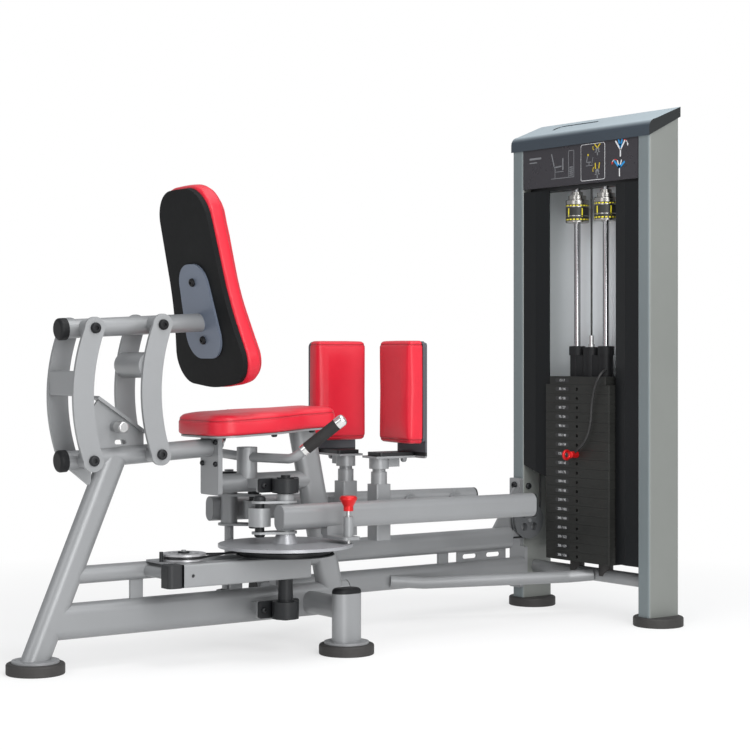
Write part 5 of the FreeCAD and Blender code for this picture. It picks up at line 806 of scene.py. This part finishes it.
def placard_art():
    """Pictograms without words: two ways the legs move, seat settings, and a machine in outline.

    The leg and settings pictures follow the photographed plate closely.
    """
    white = leg_pair(440, 88, 21, 28, 5.0, 20)
    white += leg_pair(436, 34, 9, 24, 4.0, 24)
    white += [arc_mark(455, 100, 16, 2.2, 10, 80), arrow_mark((471.5, 96), 275, 7)]
    white += [arc_mark(418, 46, 15, 2.2, 105, 165)]
    white += rounded_frame(268, 373, 8, 116, 6, 1.6)
    placard_print("placard_white", white, WHITE_PRINT)
    blue = [line_mark((440, 93), (432, 119), 5.5), line_mark((440, 93), (448, 119), 5.5),
            disc_mark(440, 104, 5)]
    blue += [line_mark((436, 36), (414, 57), 6.0), line_mark((436, 36), (458, 52), 6.0),
             disc_mark(436, 40, 6)]
    placard_print("placard_blue", blue, BLUE_PRINT, 0.0005)
    red = [arc_mark(455, 100, 16, 2.4, 50, 92), arrow_mark((403.5, 47), 250, 8),
           arc_mark(418, 46, 15, 2.4, 60, 105)]
    placard_print("placard_red", red, RED_PRINT, 0.0006)
    yellow = [line_mark((341, 102), (329, 114), 3.5), line_mark((341, 102), (353, 114), 3.5)]
    yellow += [line_mark((333, 40), (331, 58), 3.5), line_mark((347, 40), (350, 58), 3.5),
               disc_mark(300, 84, 3)]
    yellow += [arc_mark(329, 104, 8, 2.0, 150, 250), arc_mark(329, 38, 8, 2.0, 110, 220)]
    placard_print("placard_yellow", yellow, YELLOW_PRINT, 0.0005)
    grey = [disc_mark(341, 98, 8), line_mark((341, 98), (341, 80), 4), line_mark((330, 90), (352, 90), 2.5)]
    grey += [disc_mark(340, 32, 8), line_mark((340, 32), (340, 12), 4), line_mark((329, 24), (351, 24), 2.5)]
    grey += [line_mark((292, 62), (298, 80), 3), line_mark((296, 62), (312, 62), 3),
             line_mark((304, 62), (304, 52), 3)]
    grey += [line_mark((290, 52), (320, 52), 2), line_mark((316, 56), (322, 76), 1.6)]
    placard_print("placard_grey", grey, GREY_PRINT)
    outline = [line_mark((132, 24), (236, 24), 2.0), line_mark((150, 24), (150, 58), 2.0)]
    outline += [line_mark((146, 58), (180, 60), 4.0), line_mark((146, 62), (134, 100), 4.0)]
    outline += [line_mark((186, 48), (186, 84), 5.0), line_mark((150, 44), (190, 44), 2.0)]
    outline += [line_mark((212, 24), (212, 104), 2.0), line_mark((236, 24), (236, 104), 2.0)]
    outline += [line_mark((211, 104), (237, 104), 2.0)]
    outline += [line_mark((216, z), (232, z), 3.0) for z in range(30, 58, 6)]
    placard_print("placard_outline", outline, GREY_PRINT)
    plain = [stadium_mark(58, 92, 56, 6), stadium_mark(48, 80, 36, 3.4)]
    placard_print("placard_bars", plain, GREY_PRINT)


placard_art()


# ---- plate labels -------------------------------------------------------------------
PLATE_PITCH = 0.028
PLATE_TALL = 0.0276
LABEL_Y = 0.0655
LABEL_LONG = 0.062
LABEL_TALL = 0.0125
RESTING_COUNT = 11
LIFTED_COUNT = 8
POUNDS_PER_PLATE = 15
KILOGRAMS_PER_POUND = 0.4536


def number_outlines(text, y, z, front, size):
    """Mesh of plain numbers that read from the front of the stack."""
    curve = bpy.data.curves.new("number", "FONT")
    curve.body = text
    curve.size = size
    curve.align_x = "CENTER"
    curve.align_y = "CENTER"
    curve.extrude = 0.00015
    curve.resolution_u = 3
    piece = bpy.data.objects.new("number", curve)
    scene.collection.objects.link(piece)
    graph = bpy.context.evaluated_depsgraph_get()
    mesh = bpy.data.meshes.new_from_object(piece.evaluated_get(graph), depsgraph=graph)
    turn = Matrix(((0, 0, -1, front), (-1, 0, 0, y), (0, 1, 0, z), (0, 0, 0, 1)))
    mesh.transform(turn)
    bpy.data.objects.remove(piece)
    return mesh


def plate_labels(name, places, front, body):
    """Black pill labels with numbers on the front of several plates."""
    pills = [stadium_mark(LABEL_Y, z, LABEL_LONG, LABEL_TALL) for z, _ in places]
    flat_marks(name + "_pills", pills, front - 0.00005, 0.0004, LABEL_BLACK, body,
               lambda y, z, x: (x, y, z))
    work = bmesh.new()
    for z, text in places:
        mesh = number_outlines(text, LABEL_Y, z, front - 0.00065, 0.0105)
        work.from_mesh(mesh)
        bpy.data.meshes.remove(mesh)
    mesh = bpy.data.meshes.new(name + "_numbers")
    work.to_mesh(mesh)
    work.free()
    made = bpy.data.objects.new(name + "_numbers", mesh)
    scene.collection.objects.link(made)
    mesh.materials.append(WHITE_PRINT)
    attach(made, body)


def stack_labels():
    """Numbers on every plate, heaviest at the bottom; the head carries the lightest."""
    low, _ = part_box("resting_plates")
    front = low[0]
    total = RESTING_COUNT + LIFTED_COUNT
    places = []
    for index in range(total):
        order = total - index + 1
        pounds = POUNDS_PER_PLATE * order
        z = low[2] + PLATE_PITCH * index + PLATE_TALL / 2
        places.append((z, "%d / %d" % (pounds, round(pounds * KILOGRAMS_PER_POUND))))
    plate_labels("resting", places[:RESTING_COUNT], front, "frame")
    head = (low[2] + PLATE_PITCH * total + 0.012, "15 / 7")
    plate_labels("lifted", places[RESTING_COUNT:] + [head], front, "lifted_stack")


stack_labels()


# ---- cable above the stack ----------------------------------------------------------
CABLE_RINGS = 24


def stack_strand():
    """Round cable in the place of the CAD stack cable, cut into many rings along its length."""
    low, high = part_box("stack_cable")
    middle = (Vector(low) + Vector(high)) / 2
    radius = (high[0] - low[0]) / 2
    work = bmesh.new()
    bmesh.ops.create_cone(work, cap_ends=True, segments=16, radius1=radius, radius2=radius,
                          depth=high[2] - low[2])
    upright = [edge for edge in work.edges if abs(edge.verts[0].co.z - edge.verts[1].co.z) > radius]
    bmesh.ops.subdivide_edges(work, edges=upright, cuts=CABLE_RINGS)
    bmesh.ops.translate(work, verts=work.verts, vec=middle)
    mesh = bpy.data.meshes.new("stack_strand")
    work.to_mesh(mesh)
    work.free()
    for polygon in mesh.polygons:
        polygon.use_smooth = len(polygon.vertices) == 4
    made = bpy.data.objects.new("stack_strand", mesh)
    scene.collection.objects.link(made)
    mesh.materials.append(materials["cable_jacket"])
    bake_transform(made)
    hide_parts("stack_cable")


stack_strand()


# ---- stage --------------------------------------------------------------------------
FLOOR_NEAR = 1.0            # radius where the floor starts to fade into the background
FLOOR_FAR = 2.4
FLOOR_GLOW = 0.62           # share of plain white in the floor near the machine
FLOOR_GLOW_RISE = 0.38
WORLD_LIGHT = 0.46
# name, place, point it looks at, size in metres, power in watts
LIGHTS = (
    ("key", (-1.1, -4.2, 2.9), (0, 0, 0.5), 2.2, 106),
    ("front", (-3.2, -0.7, 1.35), (0.9, 0, 0.95), 1.6, 14),
    ("tower", (-0.6, -0.9, 2.6), (0.9, 0, 0.8), 0.8, 12),
    ("low", (-1.0, -3.0, 0.45), (-0.1, 0, 0.25), 1.4, 34),
    ("top", (0.6, -0.6, 3.8), (0, 0, 0.4), 3.0, 56),
    ("side", (2.2, -4.2, 2.2), (0.6, 0, 0.6), 2.0, 30),
)


def stage_floor():
    bpy.ops.mesh.primitive_plane_add(size=40, location=(0, 0, 0))
    floor = bpy.context.active_object
    floor.name = "floor"
    material = new_material("floor", (0.90, 0.90, 0.90), 0.9)
    tree = material.node_tree
    shader = shader_of(material)
    shader.inputs["Specular IOR Level"].default_value = 0.1
    glow = node(material, "ShaderNodeEmission", Strength=1.0)
    glow.inputs["Color"].default_value = (1, 1, 1, 1)
    path = node(material, "ShaderNodeLightPath")
    seen = math_node(material, "MAXIMUM", path.outputs["Is Camera Ray"],
                     math_node(material, "MAXIMUM", path.outputs["Is Glossy Ray"],
                               path.outputs["Is Transmission Ray"]))
    far = step_between(material, axis_distance(material, 0.0, 0.0), FLOOR_NEAR, FLOOR_FAR)
    share = math_node(material, "ADD", FLOOR_GLOW, math_node(material, "MULTIPLY", far, FLOOR_GLOW_RISE))
    mix = node(material, "ShaderNodeMixShader")
    link(material, math_node(material, "MULTIPLY", seen, share), mix.inputs["Fac"])
    link(material, shader.outputs["BSDF"], mix.inputs[1])
    link(material, glow.outputs["Emission"], mix.inputs[2])
    link(material, mix.outputs["Shader"], tree.nodes["Material Output"].inputs["Surface"])
    floor.data.materials.append(material)


def studio_world():
    world = bpy.data.worlds.new("studio")
    scene.world = world
    world.use_nodes = True
    tree = world.node_tree
    soft = tree.nodes["Background"]
    soft.inputs["Color"].default_value = (0.95, 0.97, 1.0, 1)
    soft.inputs["Strength"].default_value = WORLD_LIGHT
    plain = tree.nodes.new("ShaderNodeBackground")
    plain.inputs["Color"].default_value = (1, 1, 1, 1)
    path = tree.nodes.new("ShaderNodeLightPath")
    mixer = tree.nodes.new("ShaderNodeMixShader")
    tree.links.new(path.outputs["Is Camera Ray"], mixer.inputs["Fac"])
    tree.links.new(soft.outputs["Background"], mixer.inputs[1])
    tree.links.new(plain.outputs["Background"], mixer.inputs[2])
    tree.links.new(mixer.outputs["Shader"], tree.nodes["World Output"].inputs["Surface"])


def area_light(name, place, target, size, power):
    data = bpy.data.lights.new(name, "AREA")
    data.size = size
    data.energy = power
    lamp = bpy.data.objects.new(name, data)
    lamp.location = place
    lamp.rotation_euler = (Vector(target) - Vector(place)).to_track_quat("-Z", "Y").to_euler()
    scene.collection.objects.link(lamp)


stage_floor()
studio_world()
for light in LIGHTS:
    area_light(*light)
scene.view_settings.view_transform = "Standard"
